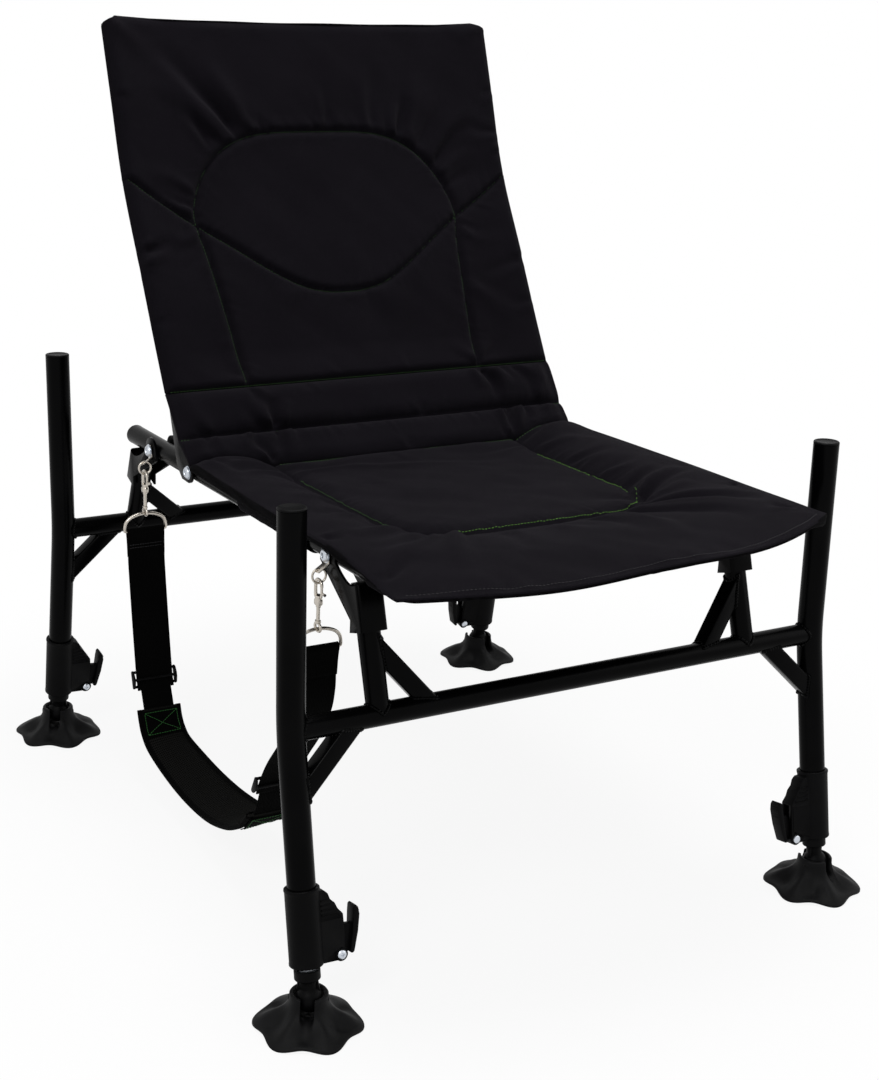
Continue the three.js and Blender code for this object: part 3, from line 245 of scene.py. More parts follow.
class Chair:
    """Places that several pieces share."""

    LEG_X = 341.0
    BAR_Y = 348.0
    RISE = 232.0
    DROP = 205.0
    RAIL_X = 240.7
    BALL_DROP = 277.4
    STRAP_X = -266.6
    BACK_PIVOT_Y = 126.0

    @classmethod
    def pivot(cls, legs: Legs) -> Vector:
        """The fold axis of a leg frame, in the chair's middle."""
        y = legs.side * legs.pivot_y
        return Vector((0, y, rail_z(y)))

    @classmethod
    def bar_end(cls, legs: Legs, side: int) -> Vector:
        """Where a crossbar meets a leg."""
        return Vector((side * cls.LEG_X, legs.side * cls.BAR_Y, 0))

    @classmethod
    def leg_top(cls, legs: Legs, side: int) -> Vector:
        """The top end of a leg tube."""
        lean = math.radians(legs.rise_lean)
        return cls.bar_end(legs, side) + Vector((0, legs.side * math.sin(lean), math.cos(lean))) * cls.RISE

    @classmethod
    def on_leg(cls, legs: Legs, side: int, down: float) -> Vector:
        """A point on a leg's lower axis, some way down from the crossbar."""
        lean = math.radians(legs.drop_lean)
        return cls.bar_end(legs, side) + Vector((0, legs.side * math.sin(lean), -math.cos(lean))) * down

    @classmethod
    def on_post(cls, legs: Legs, side: int, up: float) -> Vector:
        """A point on a post's axis, some way up from the crossbar."""
        lean = math.radians(legs.post_lean)
        foot = Vector((side * cls.RAIL_X, legs.side * cls.BAR_Y, 0))
        return foot + Vector((0, -legs.side * math.sin(lean), math.cos(lean))) * up

    @classmethod
    def ball_down(cls, legs: Legs) -> float:
        """How far down its leg the foot's ball lies."""
        return cls.BALL_DROP / math.cos(math.radians(legs.drop_lean))

    @classmethod
    def ferrule_top(cls, legs: Legs) -> float:
        """How far down its leg the foot's ferrule begins."""
        return cls.ball_down(legs) - 32

    @classmethod
    def collar_top(cls, legs: Legs, side: int) -> float:
        """How far down its leg the clamp collar begins. The front left one sits a little higher."""
        return cls.ferrule_top(legs) - 83.3 - (4 if (legs.side, side) == (-1, -1) else 0)

    @classmethod
    def lower_place(cls, legs: Legs, side: int) -> Matrix:
        """From a lower leg's own axes, with inward along x and up along z, to the chair."""
        joint = cls.bar_end(legs, side)
        up = (joint - cls.on_leg(legs, side, 1)).normalized()
        inward = Vector((-side, 0, 0))
        turn = Matrix((inward, up.cross(inward), up)).transposed().to_4x4()
        return Matrix.Translation(joint) @ turn

    @classmethod
    def ring_centre(cls, legs: Legs) -> Vector:
        """The middle of the small ring that hangs from a strap tab."""
        lean = math.radians(legs.tab_lean)
        drop = Vector((0, -math.sin(lean) * 13.5, -math.cos(lean) * 13.5 - 8))
        return cls.pivot(legs) + Vector((cls.STRAP_X, 0, 0)) + drop

    @classmethod
    def ring_bar(cls, legs: Legs) -> Vector:
        """The middle of a large ring's straight bar."""
        centre = cls.ring_centre(legs)
        return Vector((cls.STRAP_X, centre.y, cls.pivot(legs).z - 79 - 2 - 22))

    @classmethod
    def to_row(cls) -> Matrix:
        """From the chair's millimetres to the row's metres."""
        fold = next(j for j in frame["joints"] if j["name"] == "front_fold")
        shift = Vector(fold["pos_m"]) * 1000 - cls.pivot(FRONT)
        return Matrix.Scale(0.001, 4) @ Matrix.Translation(shift)


# Modelling steps


class Bench:
    """The steps that shape each new piece by hand. Sizes are in millimetres until a piece is settled."""

    @staticmethod
    def clear() -> None:
        """Leaves edit mode and deselects everything."""
        if bpy.context.object is not None and bpy.context.object.mode != "OBJECT":
            bpy.ops.object.mode_set(mode="OBJECT")
        bpy.ops.object.select_all(action="DESELECT")

    @classmethod
    def take(cls, *pieces: Piece) -> Piece:
        """Selects pieces and makes the first one active."""
        cls.clear()
        for piece in pieces:
            piece.select_set(True)
        bpy.context.view_layer.objects.active = pieces[0]
        return pieces[0]

    @classmethod
    def open(cls, piece: Piece, action: str = "SELECT") -> None:
        """Opens a piece in edit mode with all or nothing selected."""
        cls.take(piece)
        bpy.ops.object.mode_set(mode="EDIT")
        bpy.ops.mesh.select_mode(type="VERT")
        bpy.ops.mesh.select_all(action=action)

    @classmethod
    def close(cls, angle: float = 35) -> Piece:
        """Turns the faces of the open piece outwards, leaves edit mode and smooths the soft edges."""
        bpy.ops.mesh.select_all(action="SELECT")
        bpy.ops.mesh.remove_doubles(threshold=1e-4)
        bpy.ops.mesh.normals_make_consistent(inside=False)
        bpy.ops.object.mode_set(mode="OBJECT")
        bpy.ops.object.shade_smooth_by_angle(angle=math.radians(angle))
        return bpy.context.object

    @classmethod
    def chain(cls, points: Sequence[Vector]) -> None:
        """Opens a new mesh that holds one chain of edges, drawn by extruding a vertex."""
        cls.clear()
        bpy.ops.mesh.primitive_plane_add(size=0.01)
        bpy.ops.object.mode_set(mode="EDIT")
        bpy.ops.mesh.select_mode(type="VERT")
        bpy.ops.mesh.select_all(action="SELECT")
        bpy.ops.mesh.merge(type="CENTER")
        bpy.ops.transform.translate(value=points[0])
        for start, end in zip(points, points[1:]):
            bpy.ops.mesh.extrude_region_move(TRANSFORM_OT_translate={"value": end - start})
        bpy.ops.mesh.select_all(action="SELECT")

    @classmethod
    def lathe(cls, profile: Sequence[Pair], steps: int = 40, angle: float = 35) -> Piece:
        """A round piece about z.

        Args:
            profile: radius and height of each point, from pole to pole.
            steps: how many facets go round.
            angle: edges sharper than this stay sharp, in degrees.

        Returns:
            The closed piece.
        """
        cls.chain([Vector((r, 0, z)) for r, z in profile])
        bpy.ops.mesh.spin(steps=steps, angle=2 * math.pi, center=(0, 0, 0), axis=(0, 0, 1))
        return cls.close(angle)

    @classmethod
    def plate(cls, outline: Sequence[Vector], depth: Vector, bevel: float = 0.5) -> Piece:
        """A flat sheet with broken edges.

        Args:
            outline: the corners of one face, in order.
            depth: the way and the thickness that the face is extruded.
            bevel: width of the broken edges, or zero.

        Returns:
            The closed piece.
        """
        cls.chain(outline)
        bpy.ops.mesh.edge_face_add()
        bpy.ops.mesh.extrude_region_move(TRANSFORM_OT_translate={"value": depth})
        bpy.ops.mesh.select_all(action="SELECT")
        bpy.ops.mesh.normals_make_consistent(inside=False)
        if bevel:
            bpy.ops.mesh.select_all(action="DESELECT")
            bpy.ops.mesh.edges_select_sharp(sharpness=math.radians(40))
            bpy.ops.mesh.bevel(offset=bevel, segments=2, affect="EDGES")
        return cls.close(30)

    @classmethod
    def channel(cls, outline: Sequence[Pair], shared: int, half: float, middle: float, thick: float) -> Piece:
        """A folded sheet with two equal cheeks and a web between them.

        Args:
            outline: y and z of a cheek's corners, in order.
            shared: the outline's edge that starts at this corner carries the web.
            half: half the width between the sheet's middle planes.
            middle: x of the channel's middle.
            thick: the sheet's thickness.

        Returns:
            The closed piece.
        """
        left, right = middle - half, middle + half
        cls.chain([Vector((left, y, z)) for y, z in outline])
        bpy.ops.mesh.edge_face_add()
        bpy.ops.mesh.duplicate_move(TRANSFORM_OT_translate={"value": (right - left, 0, 0)})
        bpy.ops.mesh.select_all(action="DESELECT")
        bpy.ops.mesh.select_mode(type="EDGE")
        piece = bpy.context.object
        ends = [Vector((0, *outline[k % len(outline)])) for k in (shared, shared + 1)]

        def on_fold(a: Vector, b: Vector) -> bool:
            """Whether an edge runs between the two corners that carry the web."""
            return all(min((Vector((0, p.y, p.z)) - end).length for p in (a, b)) < 0.01 for end in ends)

        cls.pick_edges(piece, on_fold)
        bpy.ops.mesh.bridge_edge_loops()
        bpy.ops.mesh.select_all(action="SELECT")
        bpy.ops.mesh.normals_make_consistent(inside=False)
        bpy.ops.mesh.select_all(action="DESELECT")
        cls.pick_edges(piece, lambda a, b: on_fold(a, b) and abs(a.x - b.x) < 0.01)
        bpy.ops.mesh.bevel(offset=thick * 1.2, segments=4, affect="EDGES")
        bpy.ops.object.mode_set(mode="OBJECT")
        cls.finish_with(piece, "SOLIDIFY", thickness=thick, offset=0, use_even_offset=True)
        cls.finish_with(
            piece, "BEVEL", width=0.35, segments=2, limit_method="ANGLE", angle_limit=math.radians(50)
        )
        cls.open(piece)
        return cls.close(30)

    @staticmethod
    def pick_edges(piece: Piece, wanted: Callable[[Vector, Vector], bool]) -> None:
        """Selects the edges of the open piece whose two ends are wanted."""
        bpy.ops.object.mode_set(mode="OBJECT")
        places = piece.data.vertices
        for edge in piece.data.edges:
            edge.select = wanted(*(places[k].co for k in edge.vertices))
        bpy.ops.object.mode_set(mode="EDIT")

    @classmethod
    def tube(cls, points: Sequence[Vector], radius: float, sides: int = 28, cyclic: bool = False,
             swell: Sequence[float] | None = None) -> Piece:
        """A round bar along a path.

        Args:
            points: the path, close together round its bends.
            radius: the bar's radius.
            sides: how many facets go round it, an even number.
            cyclic: whether the path closes on itself.
            swell: the radius at each point, as a share of the bar's.

        Returns:
            The piece, closed at its ends.
        """
        cls.clear()
        bpy.ops.curve.primitive_nurbs_path_add()
        path = bpy.context.object
        path.data.splines.clear()
        line = path.data.splines.new("POLY")
        line.points.add(len(points) - 1)
        line.points.foreach_set("co", [c for p in points for c in (*p, 1.0)])
        line.points.foreach_set("radius", list(swell or [1.0] * len(points)))
        line.use_cyclic_u = cyclic
        path.data.bevel_depth = radius
        path.data.bevel_resolution = (sides - 4) // 2
        path.data.use_fill_caps = not cyclic
        path.data.twist_mode = "MINIMUM"
        bpy.ops.object.convert(target="MESH")
        cls.open(bpy.context.object)
        return cls.close()

    @classmethod
    def square_bar(cls, start: Vector, end: Vector, size: float) -> Piece:
        """A square bar with round corners, from the middle of one end to the middle of the other."""
        along = end - start
        cls.clear()
        bpy.ops.mesh.primitive_cube_add(size=1)
        bpy.ops.object.mode_set(mode="EDIT")
        bpy.ops.mesh.select_all(action="SELECT")
        bpy.ops.transform.resize(value=(size, size, along.length))
        bpy.ops.transform.translate(value=(0, 0, along.length / 2))
        piece = bpy.context.object
        bpy.ops.mesh.select_mode(type="EDGE")
        cls.pick_edges(piece, lambda a, b: abs(a.x - b.x) + abs(a.y - b.y) < 0.01)
        bpy.ops.mesh.bevel(offset=size * 0.14, segments=3, affect="EDGES")
        bpy.ops.mesh.select_mode(type="VERT")
        across = cls.level(along)
        third = along.normalized().cross(across)
        cls.close(30)
        piece.data.transform(
            Matrix.Translation(start) @ Matrix((across, third, along.normalized())).transposed().to_4x4()
        )
        return piece

    @classmethod
    def finish_with(cls, piece: Piece, kind: str, **settings: object) -> None:
        """Adds a modifier with its settings and applies it."""
        cls.take(piece)
        bpy.ops.object.modifier_add(type=kind)
        modifier = piece.modifiers[-1]
        for name, value in settings.items():
            setattr(modifier, name, value)
        bpy.ops.object.modifier_apply(modifier=modifier.name)

    @classmethod
    def cut(cls, piece: Piece, *tools: Piece, operation: str = "DIFFERENCE") -> Piece:
        """Takes tools out of a piece, and removes them."""
        for tool in tools:
            cls.finish_with(piece, "BOOLEAN", operation=operation, solver="EXACT", object=tool)
            bpy.data.objects.remove(tool)
        return piece

    @classmethod
    def fuse(cls, piece: Piece, *others: Piece) -> Piece:
        """Unites others with a piece into one surface, and removes them."""
        return cls.cut(piece, *others, operation="UNION")

    @classmethod
    def join(cls, *pieces: Piece) -> Piece:
        """Makes several closed shells one piece."""
        cls.take(*pieces)
        if len(pieces) > 1:
            bpy.ops.object.join()
        return bpy.context.object

    @classmethod
    def place(cls, piece: Piece, matrix: Matrix) -> Piece:
        """Puts a piece's mesh in its place, and turns it outwards again if the place mirrors it."""
        piece.data.transform(matrix)
        if matrix.determinant() < 0:
            cls.open(piece)
            bpy.ops.mesh.normals_make_consistent(inside=False)
            bpy.ops.object.mode_set(mode="OBJECT")
        return piece

    @classmethod
    def copy(cls, piece: Piece, matrix: Matrix) -> Piece:
        """A copy of a piece with its own mesh, in another place."""
        cls.take(piece)
        bpy.ops.object.duplicate()
        made = bpy.context.object
        made.data = made.data.copy()
        return cls.place(made, matrix)

    @classmethod
    def drop(cls, *pieces: Piece) -> None:
        """Removes patterns that have been copied."""
        cls.clear()
        for piece in pieces:
            bpy.data.objects.remove(piece)

    @classmethod
    def bead(cls, offsets: Sequence[Vector], origin: Vector, way: Vector, wall: tuple[Vector, Vector, float],
             size: float = 1.9) -> Piece:
        """A weld bead where a bar runs into a round tube.

        Args:
            offsets: the bar's outline, square to its axis.
            origin: a point on the bar's axis, outside the tube.
            way: the bar's direction, into the tube.
            wall: a point on the tube's axis, the axis' direction and the tube's radius.
            size: the bead's radius.

        Returns:
            The bead, with the ripples of its passes.
        """
        base, axis, radius = wall
        axis = axis.normalized()
        way = way.normalized()
        ring: list[Vector] = []
        for offset in offsets:
            start = origin + offset - base
            flat_start = start - axis * start.dot(axis)
            flat_way = way - axis * way.dot(axis)
            a, b = flat_way.length_squared, flat_start.dot(flat_way)
            c = flat_start.length_squared - radius * radius
            root = b * b - a * c
            step = (-b - math.sqrt(root)) / a if root > 0 else -b / a
            ring.append(origin + offset + way * step)
        path: list[Vector] = []
        for start, end in zip(ring, ring[1:] + ring[:1]):
            steps = max(1, round((end - start).length / 1.2))
            path += [start.lerp(end, k / steps) for k in range(steps)]
        length = 0.0
        swell = []
        for start, end in zip(path, path[1:] + path[:1]):
            swell.append(1 + 0.2 * math.cos(2 * math.pi * length / 3.4) + 0.1 * math.sin(length * 0.31))
            length += (end - start).length
        return cls.tube(path, size, 8, True, swell)

    @staticmethod
    def round_outline(way: Vector, radius: float, steps: int = 36) -> list[Vector]:
        """The outline of a round bar, square to its axis."""
        first = way.orthogonal().normalized()
        second = way.normalized().cross(first)
        turns = [2 * math.pi * k / steps for k in range(steps)]
        return [first * math.cos(t) * radius + second * math.sin(t) * radius for t in turns]

    @staticmethod
    def level(way: Vector) -> Vector:
        """The direction square to a way that is nearest to y."""
        across = Vector((0, 1, 0))
        return (across - way * across.dot(way) / way.length_squared).normalized()

    @classmethod
    def square_outline(cls, way: Vector, size: float) -> list[Vector]:
        """The outline of a square bar whose one side faces along y, square to its axis."""
        across = cls.level(way) * size / 2
        third = way.normalized().cross(across.normalized()) * size / 2
        corners = [across + third, third - across, -across - third, across - third]
        return [a.lerp(b, k / 5) for a, b in zip(corners, corners[1:] + corners[:1]) for k in range(5)]


# Shaders


class Signal:
    """A shader socket that takes part in Python arithmetic."""

    def __init__(self, tree: "Tree", socket: bpy.types.NodeSocket) -> None:
        """Keeps the socket and the tree that it is in."""
        self.tree = tree
        self.socket = socket

    def _with(self, operation: str, *others: "Signal | float") -> "Signal":
        """This socket and others through one Math node."""
        values = {k: value for k, value in enumerate((self, *others))}
        return self.tree.node("ShaderNodeMath", {"operation": operation}, values)

    def __add__(self, other: "Signal | float") -> "Signal":
        """The sum."""
        return self._with("ADD", other)

    __radd__ = __add__

    def __mul__(self, other: "Signal | float") -> "Signal":
        """The product."""
        return self._with("MULTIPLY", other)

    __rmul__ = __mul__

    def __sub__(self, other: "Signal | float") -> "Signal":
        """The difference."""
        return self._with("SUBTRACT", other)

    def __rsub__(self, other: float) -> "Signal":
        """The difference from a number."""
        return self.tree.node("ShaderNodeMath", {"operation": "SUBTRACT"}, {0: other, 1: self})

    def __pow__(self, other: float) -> "Signal":
        """The power."""
        return self._with("POWER", other)

    def size(self) -> "Signal":
        """The value without its sign."""
        return self._with("ABSOLUTE")

    def wave(self, turns: float) -> "Signal":
        """A sine of the value, from -1 to 1, with that many turns a unit."""
        return (self * (2 * math.pi * turns))._with("SINE")

    def step(self, low: float, high: float) -> "Signal":
        """A smooth rise from 0 at low to 1 at high."""
        settings = {"interpolation_type": "SMOOTHSTEP"}
        return self.tree.node(
            "ShaderNodeMapRange", settings, {"Value": self, "From Min": low, "From Max": high}
        )


class Tree:
    """The nodes of one material."""

    def __init__(self, name: str) -> None:
        """Starts a material with one Principled shader."""
        self.material = bpy.data.materials.new(name)
        self.material.use_nodes = True
        self.nodes = self.material.node_tree.nodes
        self.shader = next(n for n in self.nodes if n.type == "BSDF_PRINCIPLED")

    def node(
        self, kind: str, settings: dict | None = None, values: dict | None = None, out: int | str = 0
    ) -> Signal:
        """Adds a node.

        Args:
            kind: the node's type.
            settings: its properties, such as a Math node's operation, or a ramp's stops.
            values: numbers, colours or links by socket name or index.
            out: the output to return.

        Returns:
            One of its outputs.
        """
        made = self.nodes.new(kind)
        for name, value in (settings or {}).items():
            if name == "stops":
                for k, (place, color) in enumerate(value):
                    stop = made.color_ramp.elements[k] if k < 2 else made.color_ramp.elements.new(place)
                    stop.position = place
                    stop.color = (*color, 1)
            else:
                setattr(made, name, value)
        for name, value in (values or {}).items():
            self.feed(made.inputs[name], value)
        return Signal(self, made.outputs[out])

    def feed(self, socket: bpy.types.NodeSocket, value: object) -> None:
        """Links a signal to a socket, or sets its number or colour."""
        if isinstance(value, Signal):
            self.material.node_tree.links.new(value.socket, socket)
        elif isinstance(value, tuple) and len(value) == 3 and socket.type == "RGBA":
            socket.default_value = (*value, 1)
        else:
            socket.default_value = value

    @classmethod
    def of_world(cls, world: bpy.types.World) -> "Tree":
        """The nodes that a world already has."""
        tree = cls.__new__(cls)
        tree.material, tree.nodes = world, world.node_tree.nodes
        return tree

    def surface(self, **values: object) -> bpy.types.Material:
        """Feeds the Principled shader's sockets by name, with _ for a space, and returns the material."""
        for name, value in values.items():
            self.feed(self.shader.inputs[name.replace("_", " ").title().replace("Ior", "IOR")], value)
        return self.material

    def place(self) -> Signal:
        """Object coordinates, in metres."""
        return self.node("ShaderNodeTexCoord", out="Object")

    def cloth(self) -> tuple[Signal, Signal]:
        """Across and along a cloth, in metres, from the piece's own map."""
        spot = self.node("ShaderNodeUVMap", {"uv_map": "Weave"})
        split = self.node("ShaderNodeSeparateXYZ", {}, {"Vector": spot})
        return split, Signal(self, split.socket.node.outputs["Y"])

    def noise(
        self, scale: float, detail: float = 3, spot: Signal | None = None, rough: float = 0.5
    ) -> Signal:
        """Noise from 0 to 1, with scale in cells a metre."""
        values = {"Vector": spot or self.place(), "Scale": scale, "Detail": detail, "Roughness": rough}
        return self.node("ShaderNodeTexNoise", {}, values)

    def tint(self, share: Signal, low: Place, high: Place) -> Signal:
        """A colour between two, by a share."""
        stops = [(0, low), (1, high)]
        return self.node("ShaderNodeValToRGB", {"stops": stops}, {"Fac": share})

    def bump(
        self, height: Signal, depth: float, strength: float = 1.0, under: Signal | None = None
    ) -> Signal:
        """A normal from a height, whose unit is depth in metres."""
        values: dict = {"Height": height, "Distance": depth, "Strength": strength}
        if under is not None:
            values["Normal"] = under
        return self.node("ShaderNodeBump", {}, values)


class Slot(Enum):
    """The record's material slots."""

    COVER = "cover"
    PAINT = "frame_paint"
    PLASTIC = "plastic"
    WEBBING = "webbing"
    ZINC = "zinc"
    NICKEL = "nickel"


@dataclass(frozen=True)
class Finish:
    """How one material looks. Colours are linear."""

    name: str
    slot: Slot
    dark: Place
    light: Place
    roughness: float

    def material(self) -> bpy.types.Material:
        """The material, made once."""
        return bpy.data.materials.get(self.name) or self.paint(Tree(self.name))

    def paint(self, tree: Tree) -> bpy.types.Material:
        """Draws the finish."""
        raise NotImplementedError


@dataclass(frozen=True)
class PowderCoat(Finish):
    """Satin black powder coat with a fine orange peel, dust and faint scuffs."""

    specular: float = 0.036

    def paint(self, tree: Tree) -> bpy.types.Material:
        """Draws the finish."""
        peel = tree.noise(900, 2)
        dust = tree.noise(14, 5)
        scuff = tree.noise(60, 6, rough=0.7).step(0.66, 0.74)
        speck = tree.noise(2600, 1).step(0.66, 0.78)
        shade = dust.step(0.35, 0.75) * 0.5 + scuff * 0.35 + speck * 0.3
        return tree.surface(
            base_color=tree.tint(shade, self.dark, self.light),
            roughness=dust * 0.12 + scuff * 0.1 + (self.roughness - 0.06),
            specular_ior_level=self.specular,
            coat_weight=0.0,
            normal=tree.bump(peel, 0.00012, 0.35),
        )


@dataclass(frozen=True)
class MouldedPlastic(Finish):
    """Matt moulded plastic with a spark-eroded grain and rubbed places."""

    grain: float = 0.6
    specular: float = 0.045

    def paint(self, tree: Tree) -> bpy.types.Material:
        """Draws the finish."""
        fine = tree.noise(1500, 3)
        rub = tree.noise(22, 4)
        flow = tree.noise(7, 2)
        shade = rub.step(0.4, 0.8) * 0.6 + flow * 0.4
        return tree.surface(
            base_color=tree.tint(shade, self.dark, self.light),
            roughness=rub * 0.16 + (self.roughness - 0.08),
            specular_ior_level=self.specular,
            normal=tree.bump(fine, 0.0002, self.grain),
        )


@dataclass(frozen=True)
class WovenCover(Finish):
    """Heavy plain-woven polyester: crossing yarns, slubs, a napped sheen and faint shade changes."""

    pitch: float = 0.00062

    def paint(self, tree: Tree) -> bpy.types.Material:
        """Draws the finish."""
        across, along = tree.cloth()
        turns = 1 / (2 * self.pitch)
        warp, weft = across.wave(turns), along.wave(turns)
        over = warp * weft
        yarn = over * 0.5 + (warp.size() + weft.size()) * 0.35
        slub = tree.noise(520, 2, rough=0.75)
        fibre = tree.noise(3200, 2)
        patch = tree.noise(9, 4)
        shade = yarn * 0.24 + slub * 0.62 + fibre * 0.3 + (patch - 0.5) * 0.5 - 0.1
        return tree.surface(
            base_color=tree.tint(shade, self.dark, self.light),
            roughness=slub * 0.12 + (self.roughness - 0.06),
            specular_ior_level=0.028,
            sheen_weight=0.022,
            sheen_roughness=0.45,
            sheen_tint=(0.86, 0.8, 0.9, 1),
            normal=tree.bump(fibre, 0.00025, 0.35, tree.bump(yarn + slub * 0.6, 0.00035, 0.7)),
        )


@dataclass(frozen=True)
class RibbedWebbing(Finish):
    """Nylon webbing: raised cords along it, a weft that shows between them, and worn edges."""

    cords: float = 520
    picks: float = 340

    def paint(self, tree: Tree) -> bpy.types.Material:
        """Draws the finish."""
        across, along = tree.cloth()
        rib = across.wave(self.cords)
        pick = (along + across.wave(self.cords / 2) * 0.0004).wave(self.picks)
        fuzz = tree.noise(1800, 3)
        height = rib * 0.45 + rib * pick * 0.35 + fuzz * 0.4
        shade = height * 0.35 + tree.noise(30, 3) * 0.5
        return tree.surface(
            base_color=tree.tint(shade, self.dark, self.light),
            roughness=fuzz * 0.14 + (self.roughness - 0.07),
            specular_ior_level=0.02,
            sheen_weight=0.006,
            sheen_roughness=0.5,
            normal=tree.bump(height, 0.00045, 0.9),
        )


@dataclass(frozen=True)
class SpacerMesh(Finish):
    """Open knitted mesh: rows of small holes between raised yarns, darkened with painted shade."""

    holes: float = 210

    def paint(self, tree: Tree) -> bpy.types.Material:
        """Draws the finish."""
        across, along = tree.cloth()
        first = (across + along * 0.58).wave(self.holes)
        second = (across - along * 0.58).wave(self.holes)
        open_ = (first * second).step(0.05, 0.55)
        fuzz = tree.noise(1500, 2)
        # the holes are darker in the colour: painted shade in the mesh's openings
        shade = (1 - open_) * 0.7 + fuzz * 0.3
        return tree.surface(
            base_color=tree.tint(shade, self.dark, self.light),
            roughness=fuzz * 0.1 + (self.roughness - 0.05),
            specular_ior_level=0.02,
            normal=tree.bump(1 - open_, 0.0012, 1.0),
        )


@dataclass(frozen=True)
class SewingThread(Finish):
    """Twisted polyester thread."""

    def paint(self, tree: Tree) -> bpy.types.Material:
        """Draws the finish."""
        twist = tree.noise(2400, 2)
        age = tree.noise(35, 2)
        return tree.surface(
            base_color=tree.tint(twist * 0.5 + age * 0.5, self.dark, self.light),
            roughness=twist * 0.1 + (self.roughness - 0.05),
            specular_ior_level=0.3,
            normal=tree.bump(twist, 0.0002, 0.8),
        )


@dataclass(frozen=True)
class PlatedMetal(Finish):
    """Plated steel with fine scratches, pitting and dull patches."""

    def paint(self, tree: Tree) -> bpy.types.Material:
        """Draws the finish."""
        cloudy = tree.noise(120, 4)
        fine = tree.noise(1400, 4, rough=0.7)
        pit = tree.noise(700, 2).step(0.68, 0.75)
        return tree.surface(
            base_color=tree.tint(cloudy * 0.7 + fine * 0.3 - pit * 0.25, self.dark, self.light),
            metallic=1 - pit * 0.3,
            roughness=cloudy * 0.16 + fine * 0.1 + (self.roughness - 0.1),
            normal=tree.bump(fine, 0.00008, 0.5),
        )


PAINT = PowderCoat(
    "satin_black_powder_coat", Slot.PAINT, (0.0006, 0.0006, 0.0007), (0.0022, 0.0022, 0.0024), 0.25
)
PLASTIC = MouldedPlastic(
    "matt_black_plastic", Slot.PLASTIC, (0.001, 0.001, 0.0011), (0.0034, 0.0034, 0.0037), 0.46
)
FOOT_PLASTIC = MouldedPlastic(
    "foot_plastic", Slot.PLASTIC, (0.0022, 0.0022, 0.0024), (0.0066, 0.0066, 0.007), 0.5, 0.8, 0.07
)
RUBBER = MouldedPlastic(
    "stop_rubber", Slot.PAINT, (0.001, 0.001, 0.001), (0.003, 0.003, 0.003), 0.8, 0.9, 0.03
)
COVER = WovenCover("black_cover_weave", Slot.COVER, (0.0018, 0.0015, 0.0023), (0.0062, 0.0053, 0.0075), 0.92)
EDGING = WovenCover("cover_edging", Slot.COVER, (0.0011, 0.001, 0.0013), (0.0034, 0.003, 0.0038), 0.9, 0.0009)
# The seat's black side mesh, which also stands for painted shade on the front hem's lip.
SIDE_MESH_AND_SHADE = SpacerMesh("cover_side_mesh", Slot.COVER, (0.0006, 0.0006, 0.0006), (0.0036, 0.0033, 0.0039), 0.9)
WEBBING = RibbedWebbing(
    "black_webbing", Slot.WEBBING, (0.0004, 0.0004, 0.0004), (0.0024, 0.0024, 0.0023), 0.85
)
PAD_MESH = SpacerMesh(
    "shoulder_pad_mesh", Slot.WEBBING, (0.0003, 0.0003, 0.0003), (0.0105, 0.0105, 0.0098), 0.85
)
DARK_THREAD = SewingThread("green_thread", Slot.COVER, (0.007, 0.028, 0.003), (0.022, 0.08, 0.008), 0.6)
LIME_THREAD = SewingThread("lime_thread", Slot.COVER, (0.035, 0.12, 0.008), (0.1, 0.27, 0.02), 0.6)
PATCH_THREAD = SewingThread("patch_thread", Slot.WEBBING, (0.006, 0.05, 0.008), (0.018, 0.125, 0.018), 0.6)
HEM_THREAD = SewingThread("black_thread", Slot.COVER, (0.005, 0.005, 0.0055), (0.014, 0.013, 0.015), 0.7)
ZINC = PlatedMetal("bright_zinc", Slot.ZINC, (0.42, 0.45, 0.49), (0.72, 0.76, 0.82), 0.28)
NICKEL = PlatedMetal("warm_nickel", Slot.NICKEL, (0.36, 0.33, 0.29), (0.68, 0.63, 0.56), 0.24)


# Settling pieces into the row's frame


class Shop:
    """Settles finished pieces: their place, name, finish, body and the solids that they stand for."""

    def __init__(self) -> None:
        """Finds the way from the chair's millimetres to the row's metres."""
        self.to_row = Chair.to_row()

    def settle(self, piece: Piece, name: str, body: str | None, finish: Finish,
               stands_for: Sequence[str] = ()) -> Piece:
        """Settles one piece.

        Args:
            piece: the finished piece, in the chair's millimetres.
            name: its name.
            body: the body that carries it, or None where it bends between two.
            finish: its look.
            stands_for: the CAD nodes that it replaces.

        Returns:
            The piece, in metres, at the origin.
        """
        Bench.take(piece)
        piece.name = piece.data.name = name
        piece.data.transform(self.to_row)
        piece.data.materials.clear()
        piece.data.materials.append(finish.material())
        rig.slot(piece, finish.slot.value)
        if body:
            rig.ride(piece, body)
        if stands_for:
            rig.replaces(piece, *stands_for)
        log.info("%s: %d faces on %s", name, len(piece.data.polygons), body)
        return piece

    def point(self, x: float, y: float, z: float) -> Place:
        """A point of the chair's layout in the row's metres."""
        return tuple(self.to_row @ Vector((x, y, z)))


# Welded frames and folded sheet


